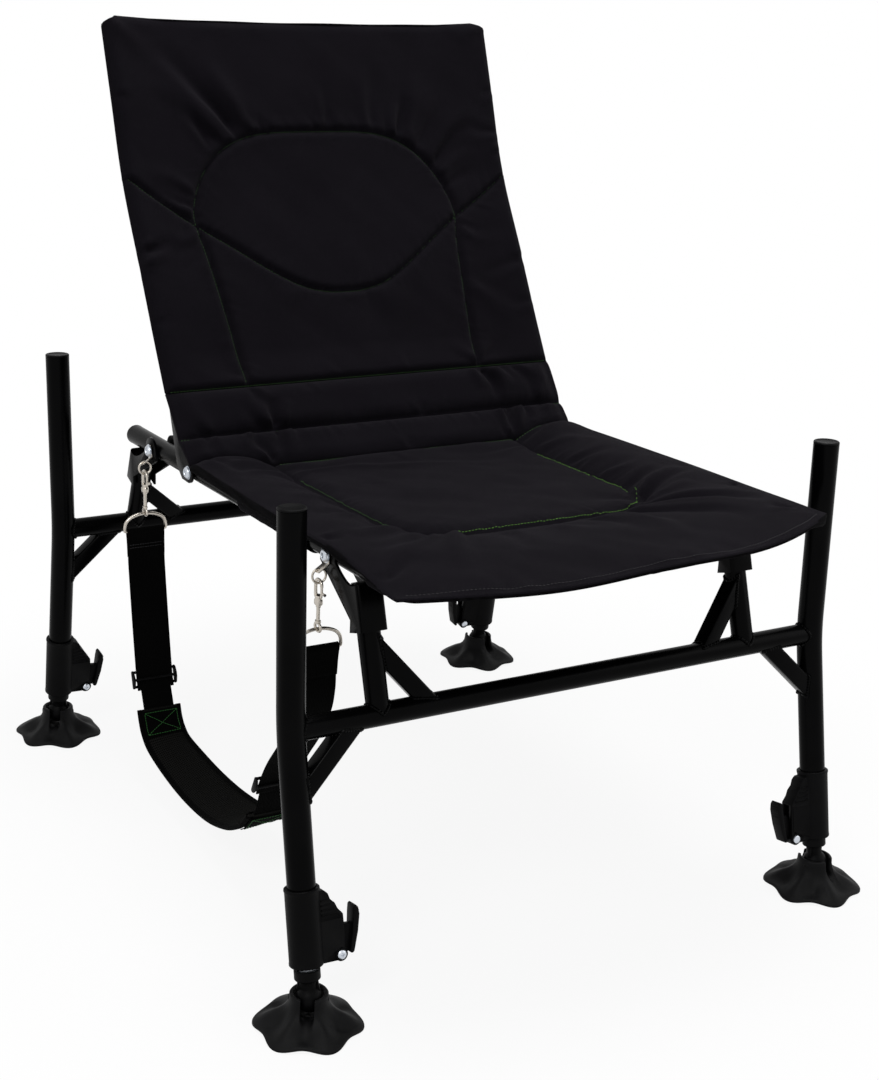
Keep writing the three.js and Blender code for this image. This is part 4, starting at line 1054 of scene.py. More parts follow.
@dataclass
class LegFrame:
    """A welded leg frame: crossbar, two bent leg tubes, two posts, four braces and their weld beads."""

    legs: Legs
    leg_radius: float = 15
    bar_radius: float = 12.5
    brace: float = 20
    reach: float = 26

    def leg_path(self, side: int) -> list[Vector]:
        """The axis of a leg tube, from its top to its lower end."""
        joint = Chair.bar_end(self.legs, side)
        top, low = Chair.leg_top(self.legs, side), Chair.on_leg(self.legs, side, Chair.DROP)
        upper = joint.lerp(top, self.reach / Chair.RISE)
        lower = joint.lerp(low, self.reach / Chair.DROP)
        return [top, *bend(upper, joint, lower, 8), low]

    def post_top(self) -> float:
        """How far up its axis a post ends, just under its rail."""
        lean = math.radians(self.legs.post_lean)
        share, slope = math.sin(lean), math.tan(RAIL_SLOPE)
        under = self.bar_radius / math.cos(RAIL_SLOPE) + GAP
        at_bar = rail_z(self.legs.side * Chair.BAR_Y) - under
        edge = self.bar_radius * abs(share) + self.bar_radius * slope
        return (at_bar - edge) / (math.cos(lean) - slope * self.legs.side * share)

    def side_parts(self, side: int) -> list[Piece]:
        """One side's tubes, braces and beads."""
        legs, across = self.legs, Vector((side, 0, 0))
        joint = Chair.bar_end(legs, side)
        foot, head = Chair.on_post(legs, side, 0), Chair.on_post(legs, side, self.post_top())
        bar_wall = (joint, Vector((1, 0, 0)), self.bar_radius)
        post_wall = (foot, head - foot, self.bar_radius)
        leg_wall = (joint, Chair.on_leg(legs, side, 90) - joint, self.leg_radius)
        upper_wall = (joint, Vector((0, 0, 1)), self.leg_radius + 0.4)
        inner = (Chair.on_post(legs, side, legs.sleeve_top - legs.sleeve - 10), foot - across * 62)
        outer = (Chair.on_leg(legs, side, 72), joint - across * 72)
        down = foot - head
        bar_end, post_end = (Bench.round_outline(way, self.bar_radius) for way in (across, down))
        parts = [
            Bench.tube(self.leg_path(side), self.leg_radius, 36),
            Bench.tube([foot, head], self.bar_radius, 32),
            Bench.bead(bar_end, joint - across * 40, across, upper_wall),
            Bench.bead(post_end, foot - down.normalized() * 40, down, bar_wall),
        ]
        for (start, end), wall in ((inner, post_wall), (outer, leg_wall)):
            way = end - start
            parts.append(Bench.square_bar(end, start, self.brace))
            middle = start.lerp(end, 0.5)
            parts.append(Bench.bead(Bench.square_outline(way, self.brace * 0.9), middle, way, bar_wall, 2.1))
            parts.append(Bench.bead(Bench.square_outline(way, self.brace * 0.98), middle, -way, wall, 2.1))
        return parts

    def build(self, shop: Shop) -> None:
        """Builds the frame, its two folded brackets and its caps."""
        name = self.legs.name
        ends = [Chair.bar_end(self.legs, side) for side in SIDES]
        parts = [Bench.tube(ends, self.bar_radius, 32)]
        for side in SIDES:
            parts += self.side_parts(side)
        shop.settle(
            Bench.join(*parts), f"{name}_legs_welded_tubes", f"{name}_legs", PAINT, [f"{name}_leg_frame"]
        )
        cap = self.cap()
        for side, word in SIDES.items():
            bracket = self.bracket(side)
            shop.settle(
                bracket, f"bracket_{name}_{word}_folded", f"{name}_legs", PAINT,
                [f"leg_bracket_{name}_{word}"]
            )
            top = Chair.leg_top(self.legs, side)
            made = Bench.copy(cap, Matrix.Translation(top) @ upright(top - Chair.bar_end(self.legs, side)))
            shop.settle(made, f"cap_{name}_{word}", f"{name}_legs", PLASTIC, [f"leg_cap_{name}_{word}"])
        Bench.drop(cap)

    def cap(self) -> Piece:
        """The plug in a leg tube's top, with a rounded rim and a shallow dish."""
        r = self.leg_radius
        return Bench.lathe([
            (0, -14), (r - 2.4, -14), (r - 1.9, -12), (r - 1.9, 0.3), (r - 0.2, 0.3), (r + 0.1, 0.9),
            (r, 1.7), (r - 0.7, 2.5), (r - 2.2, 2.8), (r - 3.2, 2.5), (r - 3.8, 2.2), (0, 2.1)
        ], 40, 50)

    def bracket(self, side: int) -> Piece:
        """The folded sheet round a post's top, whose cheeks reach the pivot bolt beside the rail."""
        legs, q = self.legs, self.legs.side
        centre = Chair.pivot(legs)
        turn = math.radians(legs.post_lean)

        def spot(up: float, out: float) -> Pair:
            """A point on the post's side view, some way up and out from its axis."""
            axis = Chair.on_post(legs, side, up)
            return (axis.y + q * out * math.cos(turn), axis.z + out * math.sin(turn))

        low, out, ear = legs.sleeve_top - legs.sleeve, CHEEK, 17.0
        outline = [spot(low, out), spot(legs.sleeve_top, out)]
        start = Vector((0, *spot(legs.sleeve_top - 1, out - 3)))
        end = Vector((0, centre.y + q * ear, centre.z - ear * 0.2))
        corner = Vector((0, *spot(legs.sleeve_top - 5, out - 22)))
        outline += [(p.y, p.z) for p in bend(start, corner, end, 9)]
        for k in range(1, 13):
            angle = math.pi * k / 12
            outline.append((centre.y + q * ear * math.cos(angle), centre.z + ear * math.sin(angle)))
        foot = spot(low, -12.8)
        outline += [(centre.y - q * ear, centre.z - ear * 0.6), (foot[0], foot[1] + 14), foot]
        return Bench.channel(outline, 0, CHEEK, side * Chair.RAIL_X, SHEET)


@dataclass
class SeatRails:
    """The seat's bowed rail tube, its end plugs and the rubber stops behind the hinge plates."""

    radius: float = 12.5
    straight: float = 350
    corner: Pair = (203, 392)
    bow: float = 436
    rear: float = 342

    def route(self) -> list[Vector]:
        """The rail's axis, from the left rear end round the front to the right rear end."""

        def spot(x: float, y: float) -> Vector:
            """A point on the rail's sloping plane."""
            return Vector((x, y, rail_z(y)))

        share = (self.bow - self.corner[1]) / self.corner[0]
        control = -self.corner[1] + (Chair.RAIL_X - self.corner[0]) * share
        straights = [spot(side * Chair.RAIL_X, -self.straight) for side in SIDES]
        corners = [spot(side * self.corner[0], -self.corner[1]) for side in SIDES]
        return [
            spot(-Chair.RAIL_X, self.rear),
            *bend(straights[0], spot(-Chair.RAIL_X, control), corners[0], 8)[:-1],
            *bend(corners[0], spot(0, -self.bow), corners[1], 16),
            *bend(corners[1], spot(Chair.RAIL_X, control), straights[1], 8)[1:],
            spot(Chair.RAIL_X, self.rear),
        ]

    def build(self, shop: Shop) -> None:
        """Builds the rail, its plugs and its stops."""
        shop.settle(
            Bench.tube(self.route(), self.radius, 32), "seat_rail_bowed", "seat", PAINT, ["seat_frame"]
        )
        r = self.radius
        plug = Bench.lathe([
            (0, -2), (r - 1.6, -2), (r - 1.6, 0.2), (r - 0.1, 0.2), (r + 0.2, 0.8), (r, 1.8), (r - 1, 2.8),
            (r - 2.6, 3.1), (r - 3.4, 2.6), (0, 2.4)
        ], 36, 50)
        wide, high = 8.5, 10.6
        stud = Bench.lathe([
            (0, -3), (wide, -3), (wide, 1.5), (7.6, 2.2), (7.6, 3.4), (wide, 4.0), (wide, 5.4), (7.6, 6.0),
            (7.6, 7.0), (8.4, 7.6), (8.2, 9.4), (7.2, 10.4), (0, high)
        ], 28, 40)
        y = Backrest.web_rear(Backrest.stop_top()) + GAP + wide
        backwards = upright(Vector((0, 1, -math.tan(RAIL_SLOPE))))
        for side, word in SIDES.items():
            end = Vector((side * Chair.RAIL_X, self.rear, rail_z(self.rear)))
            shop.settle(
                Bench.copy(plug, Matrix.Translation(end) @ backwards), f"rail_plug_{word}", "seat", PLASTIC
            )
            spot = Vector((side * Chair.RAIL_X, y, Backrest.stop_top() - high))
            shop.settle(Bench.copy(stud, Matrix.Translation(spot)), f"hinge_stop_{word}", "seat", RUBBER)
        Bench.drop(plug, stud)


@dataclass
class Backrest:
    """The backrest's bent tube and its two folded hinge plates."""

    radius: float = 12.5
    start: Pair = (151.5, 176)
    bend_at: Pair = (314, 448)
    lean: float = 20.9
    top: float = 633
    corner: float = 60
    WEB_FOOT, WEB_LEAN = (161, 130), 23.1

    @classmethod
    def web_rear(cls, z: float) -> float:
        """The rear face of a hinge plate's web, by height."""
        return cls.WEB_FOOT[0] + (z - cls.WEB_FOOT[1]) * math.tan(math.radians(cls.WEB_LEAN))

    @classmethod
    def stop_top(cls) -> float:
        """Height of the stops' tops."""
        return rail_z(cls.WEB_FOOT[0]) + 21.5

    def tube_y(self, z: float) -> float:
        """The lower tube's axis, by height."""
        (y0, z0), (y1, z1) = self.start, self.bend_at
        return y0 + (z - z0) * (y1 - y0) / (z1 - z0)

    def upper_y(self, z: float) -> float:
        """The upper tube's axis, by height."""
        return self.bend_at[0] + (z - self.bend_at[1]) * math.tan(math.radians(self.lean))

    def route(self) -> list[Vector]:
        """The tube's axis, from the left lower end over the top to the right lower end."""
        halves = []
        for side in SIDES:
            x, z = side * Chair.RAIL_X, self.bend_at[1]
            low = Vector((x, self.tube_y(z - self.corner), z - self.corner))
            high = Vector((x, self.upper_y(z + self.corner), z + self.corner))
            turn = Vector((x, self.upper_y(self.top - self.corner), self.top - self.corner))
            peak = Vector((side * (Chair.RAIL_X - self.corner), self.upper_y(self.top), self.top))
            halves.append([
                Vector((x, self.start[0], self.start[1])),
                *bend(low, Vector((x, *self.bend_at)), high, 8),
                *bend(turn, Vector((x, self.upper_y(self.top), self.top)), peak, 10),
            ])
        return halves[0] + halves[1][::-1]

    def hinge(self, side: int) -> Piece:
        """A folded plate: cheeks beside the rail and the tube, and a web behind the tube."""
        bolt = (Chair.BACK_PIVOT_Y, rail_z(Chair.BACK_PIVOT_Y))
        front, low, top = 13.0, rail_z(self.WEB_FOOT[0]) + 16.0, 236.0
        lean = math.atan2(self.bend_at[0] - self.start[0], self.bend_at[1] - self.start[1])
        tip = self.tube_y(top) - 10.5 / math.cos(lean)
        outline = [
            (bolt[0] + 19, bolt[1] - front), self.WEB_FOOT, (self.web_rear(low) - 1.5, low),
            (self.web_rear(top) - 1.5, top), (tip, top), (bolt[0] - front * 0.4, bolt[1] + front * 1.6)
        ]
        for k in range(9):
            angle = math.pi * (1 + k / 16)
            outline.append((bolt[0] + front * math.cos(angle), bolt[1] + front * math.sin(angle)))
        return Bench.channel(outline, 2, CHEEK, side * Chair.RAIL_X, SHEET)

    def build(self, shop: Shop) -> None:
        """Builds the tube and the plates."""
        shop.settle(
            Bench.tube(self.route(), self.radius, 32), "backrest_tube_bent", "backrest", PAINT,
            ["backrest_frame"]
        )
        for side, word in SIDES.items():
            shop.settle(
                self.hinge(side), f"hinge_plate_{word}", "backrest", PAINT, [f"backrest_hinge_{word}"]
            )


@dataclass
class PivotBolts:
    """The socket-head bolts across the rails, with their nuts."""

    shank: float = 4
    head: float = 7.5
    height: float = 4.5

    def pattern(self, grip: float) -> Piece:
        """A bolt along z whose head's underside is at zero, with a nut below the grip."""
        r, h = self.head, self.height
        bolt = Bench.lathe([
            (0, -grip - 8), (self.shank - 0.6, -grip - 8), (self.shank, -grip - 7.3), (self.shank, 0),
            (r + 1, 0), (r + 1, 0.4), (r, 0.4), (r, 1.0), (r * 0.97, 1.9), (r * 0.88, 3.0), (r * 0.72, 3.9),
            (r * 0.58, h), (0, h)
        ], 36, 30)
        bolt = Bench.cut(bolt, self.hexagon(2.9, h + 3 - 2.4, 0.15, 1, 20))
        return Bench.join(bolt, self.hexagon(7, -grip - 3, 0.5, 2, 25))

    @staticmethod
    def hexagon(radius: float, z: float, bevel: float, segments: int, angle: float) -> Piece:
        """A six-sided bar with broken edges, 6 mm high: a nut, or the tool that cuts a head's socket."""
        Bench.clear()
        bpy.ops.mesh.primitive_cylinder_add(vertices=6, radius=radius, depth=6, location=(0, 0, z))
        bar = bpy.context.object
        Bench.open(bar)
        bpy.ops.mesh.bevel(offset=bevel, segments=segments, affect="EDGES")
        Bench.close(angle)
        bpy.ops.object.transform_apply(location=True, rotation=True, scale=True)
        return bar

    def build(self, shop: Shop) -> None:
        """Builds the four leg pivots and the two backrest pivots."""
        cheek = 16.1
        places = [
            (f"pivot_bolt_{legs.name}", Chair.pivot(legs), Chair.RAIL_X + cheek + 1.8, "seat")
            for legs in (FRONT, REAR)
        ]
        hinge = Vector((0, Chair.BACK_PIVOT_Y, rail_z(Chair.BACK_PIVOT_Y)))
        places.append(("backrest_bolt", hinge, Chair.RAIL_X + cheek, "backrest"))
        for node, centre, face, body in places:
            bolt = self.pattern(face - Chair.RAIL_X + cheek)
            for side, word in SIDES.items():
                turn = upright(Vector((side, 0, 0)))
                made = Bench.copy(bolt, Matrix.Translation((side * face, centre.y, centre.z)) @ turn)
                shop.settle(made, f"{node}_{word}_zinc", body, ZINC, [f"{node}_{word}"])
            Bench.drop(bolt)


# Telescopic legs and feet


@dataclass
class LegClamp:
    """The quick clamp on a lower leg: collar, lever and pin. Out is towards the chair's middle."""

    height: float = 83
    out: float = 36
    down: float = 78
    cam: float = 7
    width: float = 18

    def slab(self, outline: Sequence[Pair], width: float, lift: float, bevel: float = 0.8) -> Piece:
        """A plate drawn out and up, centred across the clamp."""
        points = [Vector((x, -width / 2, z + lift)) for x, z in outline]
        return Bench.plate(points, Vector((0, width, 0)), bevel)

    def collar(self, top: float) -> Piece:
        """The collar, with its stepped housing, pin boss, slot and clamping split."""
        h, o = self.height, self.out
        low, step = top - h, -Chair.DROP - 0.3
        body = Bench.lathe([
            (15.3, top), (17.6, top), (18.6, top - 0.8), (18.8, top - 2.2), (18.4, top - 3.6),
            (18.1, top - 5), (18.0, low + 4), (18.3, low + 3), (18.3, low + 1), (17.6, low), (11.8, low),
            (11.8, step), (15.3, step), (15.3, top)
        ], 48, 30)
        housing = [
            (0, 0), (o * 0.9, h * -0.012), (o * 1.05, h * -0.006), (o * 1.11, h * 0.02), (o * 1.14, h * 0.06),
            (o * 1.15, h * 0.434), (o * 1.139, h * 0.578), (o * 0.98, h * 0.66), (o * 0.9, h * 0.74),
            (o * 0.76, h * 0.8), (o * 0.7, h * 0.88), (o * 0.583, h * 0.928), (0, h * 0.95)
        ]
        flank = [
            (o * 0.3, h * 0.03), (o * 0.84, h * 0.12), (o * 1.1, h * 0.18), (o * 1.1, h * 0.54),
            (o * 0.3, h * 0.54)
        ]
        body = Bench.fuse(
            body, self.slab(housing, self.width, low), self.slab(flank, self.width + 2.4, low, 0.6)
        )
        boss = Bench.lathe([
            (0, -10.4), (6.6, -10.4), (7.2, -9.6), (7.2, 9.6), (6.6, 10.4), (0, 10.4)
        ], 28, 40)
        Bench.place(boss, Matrix.Translation((o, 0, top - self.down)) @ Matrix.Rotation(math.pi / 2, 4, "X"))
        body = Bench.fuse(body, boss)
        bore = Bench.lathe([
            (0, low - 20), (15.3, low - 20), (15.3, low), (11.8, low), (11.8, step), (15.3, step),
            (15.3, top + 9), (0, top + 9)
        ], 48, 30)
        slot = self.slab([(18.6, -o), (o * 2, -o), (o * 2, h * 0.56), (18.6, h * 0.56)], 8.2, low, 0)
        split = self.slab([(8, -h * 0.06), (30, -h * 0.06), (30, h * 0.46), (8, h * 0.46)], 2, low, 0)
        body = Bench.cut(body, bore, slot, split)
        for k in range(4):
            z = low + h * (0.62 + 0.06 * k)
            rib = self.slab([
                (16.5, z - 0.9), (o * (0.98 - 0.09 * k), z - 0.9), (o * (0.97 - 0.09 * k), z + 0.9),
                (16.5, z + 0.9)
            ], self.width + 1.2, 0, 0.3)
            body = Bench.join(body, rib)
        return body

    def lever(self, top: float) -> Piece:
        """The lever: a cam eye, an arm in the slot and a thumb blade that leans out."""
        pin, o, r = top - self.down, self.out, self.cam
        eye = Bench.lathe([(0, -3.7), (r - 0.4, -3.7), (r, -3.3), (r, 3.3), (r - 0.4, 3.7), (0, 3.7)], 28, 40)
        Bench.place(eye, Matrix.Translation((o, 0, pin)) @ Matrix.Rotation(math.pi / 2, 4, "X"))
        arm = [
            (o - r * 0.5, pin), (o + r * 1.7, pin - r * 0.1), (o + r * 2.9, pin + r * 4),
            (o + r * 1.2, pin + r * 4.2), (o - r * 0.4, pin + r * 1.1)
        ]
        blade = [
            (o + r * 1.6, pin - r * 0.2), (o + r * 2.0, pin - r * 0.35), (o + r * 2.3, pin - r * 0.1),
            (o + r * 3.1, pin + r * 2.9), (o + r * 3.5, pin + r * 5.4), (o + r * 3.35, pin + r * 6.5),
            (o + r * 2.95, pin + r * 6.95), (o + r * 2.6, pin + r * 6.7), (o + r * 2.45, pin + r * 5.6),
            (o + r * 2.2, pin + r * 3)
        ]
        thumb = self.slab(blade, 16, 0, 1.0)
        grips = []
        for k in range(5):
            z = pin + r * (4.3 + 0.42 * k)
            x = o + r * mixed(3.28, 3.46, k / 4)
            grips.append(
                self.slab([
                    (x - 0.9, z - 0.6), (x + 0.75, z - 0.3), (x + 0.75, z + 0.3), (x - 0.9, z + 0.6)
                ], 12, 0, 0.25)
            )
        return Bench.join(thumb, eye, self.slab(arm, 7.4, 0, 0.6), *grips)

    def pin(self, top: float) -> Piece:
        """The pin, with a domed cross-head at one end and a flat head at the other."""
        face = self.width / 2 + 1.5
        pin = Bench.lathe([
            (0, -face - 1.6), (3.6, -face - 1.6), (4.6, -face - 1.1), (4.9, -face), (3, -face), (3, face),
            (4.9, face), (4.9, face + 0.5), (4.2, face + 1.4), (2.6, face + 1.9), (0, face + 2.0)
        ], 28, 35)
        for turn in (0, math.pi / 2):
            Bench.clear()
            bpy.ops.mesh.primitive_cube_add(
                size=1, location=(0, 0, face + 1.6), rotation=(0, 0, turn), scale=(4.6, 0.9, 1.6)
            )
            bpy.ops.object.transform_apply(location=True, rotation=True, scale=True)
            pin = Bench.cut(pin, bpy.context.object)
        return Bench.place(
            pin, Matrix.Translation((self.out, 0, top - self.down)) @ Matrix.Rotation(math.pi / 2, 4, "X")
        )

    def build(self, legs: Legs, side: int, shop: Shop) -> None:
        """Builds one clamp on its leg."""
        place, word = Chair.lower_place(legs, side), f"{legs.name}_{SIDES[side]}"
        top = -Chair.collar_top(legs, side)
        collar = Bench.place(self.collar(top), place)
        shop.settle(collar, f"clamp_{word}_collar", f"{legs.name}_legs", PLASTIC, [f"clamp_collar_{word}"])
        lever = Bench.place(self.lever(top), place)
        shop.settle(lever, f"clamp_{word}_thumb_lever", f"lever_{word}", PLASTIC, [f"clamp_lever_{word}"])
        pin = Bench.place(self.pin(top), place)
        shop.settle(pin, f"clamp_{word}_pin", f"{legs.name}_legs", ZINC, [f"lever_pin_{word}"])


@dataclass
class MudFoot:
    """An inner leg, its ball stud and the ridged mud foot that tilts on it."""

    radius: float = 55
    lobes: int = 6
    wave: float = 3.4
    height: float = 40
    ball_height: float = 32.5
    steps: int = 96

    def inner_tube(self, legs: Legs) -> Piece:
        """The plated inner tube with its guide bush."""
        low = -Chair.ferrule_top(legs) - 7.7
        top = low + 222
        return Bench.lathe([
            (10, low), (11.3, low), (11.5, low + 0.4), (11.5, top - 12.4), (12.9, top - 12), (13, top - 11),
            (13, top - 0.6), (12.6, top), (10, top), (10, low)
        ], 36, 40)

    def stud(self, legs: Legs) -> Piece:
        """The moulded ferrule, neck and ball."""
        top, centre, r = -Chair.ferrule_top(legs), -Chair.ball_down(legs), 14.5
        low = top - 11
        profile = [
            (0, top + 11), (9.7, top + 11), (9.7, low + 3), (12.1, low + 3), (12.1, top - 0.2), (12.6, top),
            (13.2, top), (13.9, top - 0.7), (13.9, low + 1), (13.2, low), (10.6, low - 0.4),
            (10.2, low - 1.6), (9.2, low - 4)
        ]
        neck = math.asin(9 / r)
        for k in range(13):
            angle = mixed(neck, math.pi, k / 12)
            profile.append((0 if k == 12 else r * math.sin(angle), centre + r * math.cos(angle)))
        stud = Bench.lathe(profile, 40, 32)
        band = []
        for turn in (0, 1):
            rib = Bench.plate([
                Vector((9.0, -2.2, centre + 8)), Vector((12.4, -2.2, centre + 7)),
                Vector((10.6, -2.2, low - 0.5)), Vector((8.6, -2.2, low - 0.5))
            ], Vector((0, 4.4, 0)), 0.6)
            band.append(Bench.place(rib, Matrix.Rotation(math.pi * turn, 4, "Z")))
        return Bench.join(stud, *band)

    def shell(self) -> Piece:
        """The foot: a socket on six ridged lobes, with slots for the stud's neck and eyelets for its pin."""
        r, h = self.radius, self.height
        profile = [
            (0, 0), (r * 0.45, 0), (r * 0.8, 0), (r * 0.97, 0.05), (r, 0.7), (r, 2.4), (r * 0.985, 3.3),
            (r * 0.93, 4.4), (r * 0.84, 6.6), (r * 0.73, 9.8), (r * 0.62, 13.6), (r * 0.52, 18.2),
            (r * 0.44, 23.4), (r * 0.395, 28.6), (r * 0.375, 33.8), (r * 0.37, h - 1.4), (r * 0.355, h - 0.2),
            (r * 0.33, h), (r * 0.3, h), (0, h)
        ]
        foot = Bench.lathe(profile, self.steps, 60)
        places = np.array([v.co for v in foot.data.vertices])
        flat = np.hypot(places[:, 0], places[:, 1])
        wave = np.cos(self.lobes * np.arctan2(places[:, 1], places[:, 0]))
        outer = eased(flat, 19, r)
        upper = places[:, 2] > 0.02
        crest = np.sign(wave) * np.abs(wave) ** 1.4
        places[:, :2] *= (1 + self.wave * wave * outer / np.maximum(flat, 1))[:, None]
        edge = flat > r * 0.9
        places[:, 2] += np.where(upper, outer * (1 - outer) * 15 * crest, 0)
        places[:, 2] += np.where(upper | edge, 1.45 * (1 - wave) * outer * outer, 0)
        foot.data.vertices.foreach_set("co", places.ravel())
        bore = Bench.lathe([
            (0, 15.5), (12, 15.5), (16.5, 19), (16.5, h - 2), (17.4, h + 3), (0, h + 3)
        ], 40, 30)
        width = 7.4
        turns = [math.pi * (1 + k / 10) for k in range(11)]
        arch = [(width * math.cos(t), 22 + width * math.sin(t)) for t in turns]
        slots = []
        for turn in (0, 1):
            outline = [Vector((x, -34, z)) for x, z in [*arch, (width, h + 4), (-width, h + 4)]]
            tool = Bench.plate(outline, Vector((0, 26, 0)), 0)
            slots.append(Bench.place(tool, Matrix.Rotation(math.pi * turn, 4, "Z")))
        foot = Bench.cut(foot, bore, *slots)
        boss = Bench.lathe([
            (0, -21.2), (3.0, -21.2), (3.6, -20.4), (3.6, 20.4), (3.0, 21.2), (0, 21.2)
        ], 20, 30)
        Bench.place(boss, Matrix.Translation((0, 0, self.ball_height)) @ Matrix.Rotation(math.pi / 2, 4, "Y"))
        return Bench.join(foot, boss)

    def build(self, shop: Shop) -> None:
        """Builds the four feet with their studs and inner legs."""
        shell = self.shell()
        turns = {-1: -31.0, 1: 20.0}
        for legs in (FRONT, REAR):
            tube, stud = self.inner_tube(legs), self.stud(legs)
            for side in SIDES:
                word = f"{legs.name}_{SIDES[side]}"
                place = Chair.lower_place(legs, side)
                centre = Chair.on_leg(legs, side, Chair.ball_down(legs))
                spin = Matrix.Rotation(math.radians(turns[side]), 4, "Z")
                down = Matrix.Translation(centre - Vector((0, 0, self.ball_height))) @ spin
                shop.settle(
                    Bench.copy(tube, place), f"inner_tube_{word}", f"inner_{word}", ZINC,
                    [f"inner_leg_{word}"]
                )
                shop.settle(
                    Bench.copy(stud, place @ spin), f"ball_joint_{word}", f"stud_{word}", PLASTIC,
                    [f"ball_stud_{word}"]
                )
                shop.settle(
                    Bench.copy(shell, down), f"mud_foot_{word}_shell", f"mud_foot_{word}", FOOT_PLASTIC,
                    [f"foot_{word}"]
                )
            Bench.drop(tube, stud)
        Bench.drop(shell)


# Cloth, built from grids of points


def eased(values: Array | float, low: float, high: float) -> Array:
    """A smooth step from 0 at low to 1 at high."""
    share = np.clip((np.asarray(values, float) - low) / (high - low), 0, 1)
    return share * share * (3 - 2 * share)


class Line:
    """A line on a flat pattern or in space, with its places measured along it."""

    def __init__(self, points: Sequence[Sequence[float]], steps: int = 0) -> None:
        """Keeps the points, or rounds the line between them with some steps."""
        spots = np.array(points, float)
        if steps:
            ends = np.vstack((2 * spots[:1] - spots[1:2], spots, 2 * spots[-1:] - spots[-2:-1]))
            t = (np.arange(steps) / steps)[:, None]
            runs = [
                b + (c - a) / 2 * t + (a - 2.5 * b + 2 * c - d / 2) * t**2
                + (1.5 * (b - c) + (d - a) / 2) * t**3
                for a, b, c, d in zip(ends, ends[1:], ends[2:], ends[3:])
            ]
            spots = np.vstack((*runs, spots[-1:]))
        self.spots = spots
        self.places = np.concatenate(([0.0], np.cumsum(np.linalg.norm(np.diff(spots, axis=0), axis=1))))
        self.length = float(self.places[-1])

    def at(self, places: Array) -> Array:
        """The points at some places along the line."""
        return np.stack([np.interp(places, self.places, column) for column in self.spots.T], axis=-1)

    def near(self, spots: Array) -> tuple[Array, Array, Array]:
        """For spots of a pattern: distance signed by side, place along the line and its nearest point."""
        best = np.full(spots.shape[:-1], np.inf)
        sign, along, foot = np.ones_like(best), np.zeros_like(best), np.zeros_like(spots)
        for start, end, place in zip(self.spots, self.spots[1:], self.places):
            step = end - start
            share = np.clip((spots - start) @ step / (step @ step), 0, 1)
            here = start + share[..., None] * step
            gap = spots - here
            distance = np.hypot(gap[..., 0], gap[..., 1])
            closer = distance < best
            best[closer] = distance[closer]
            along[closer] = (place + share * np.linalg.norm(step))[closer]
            foot[closer] = here[closer]
            sign[closer] = np.where(step[0] * gap[..., 1] - step[1] * gap[..., 0] < 0, -1, 1)[closer]
        return best * sign, along, foot


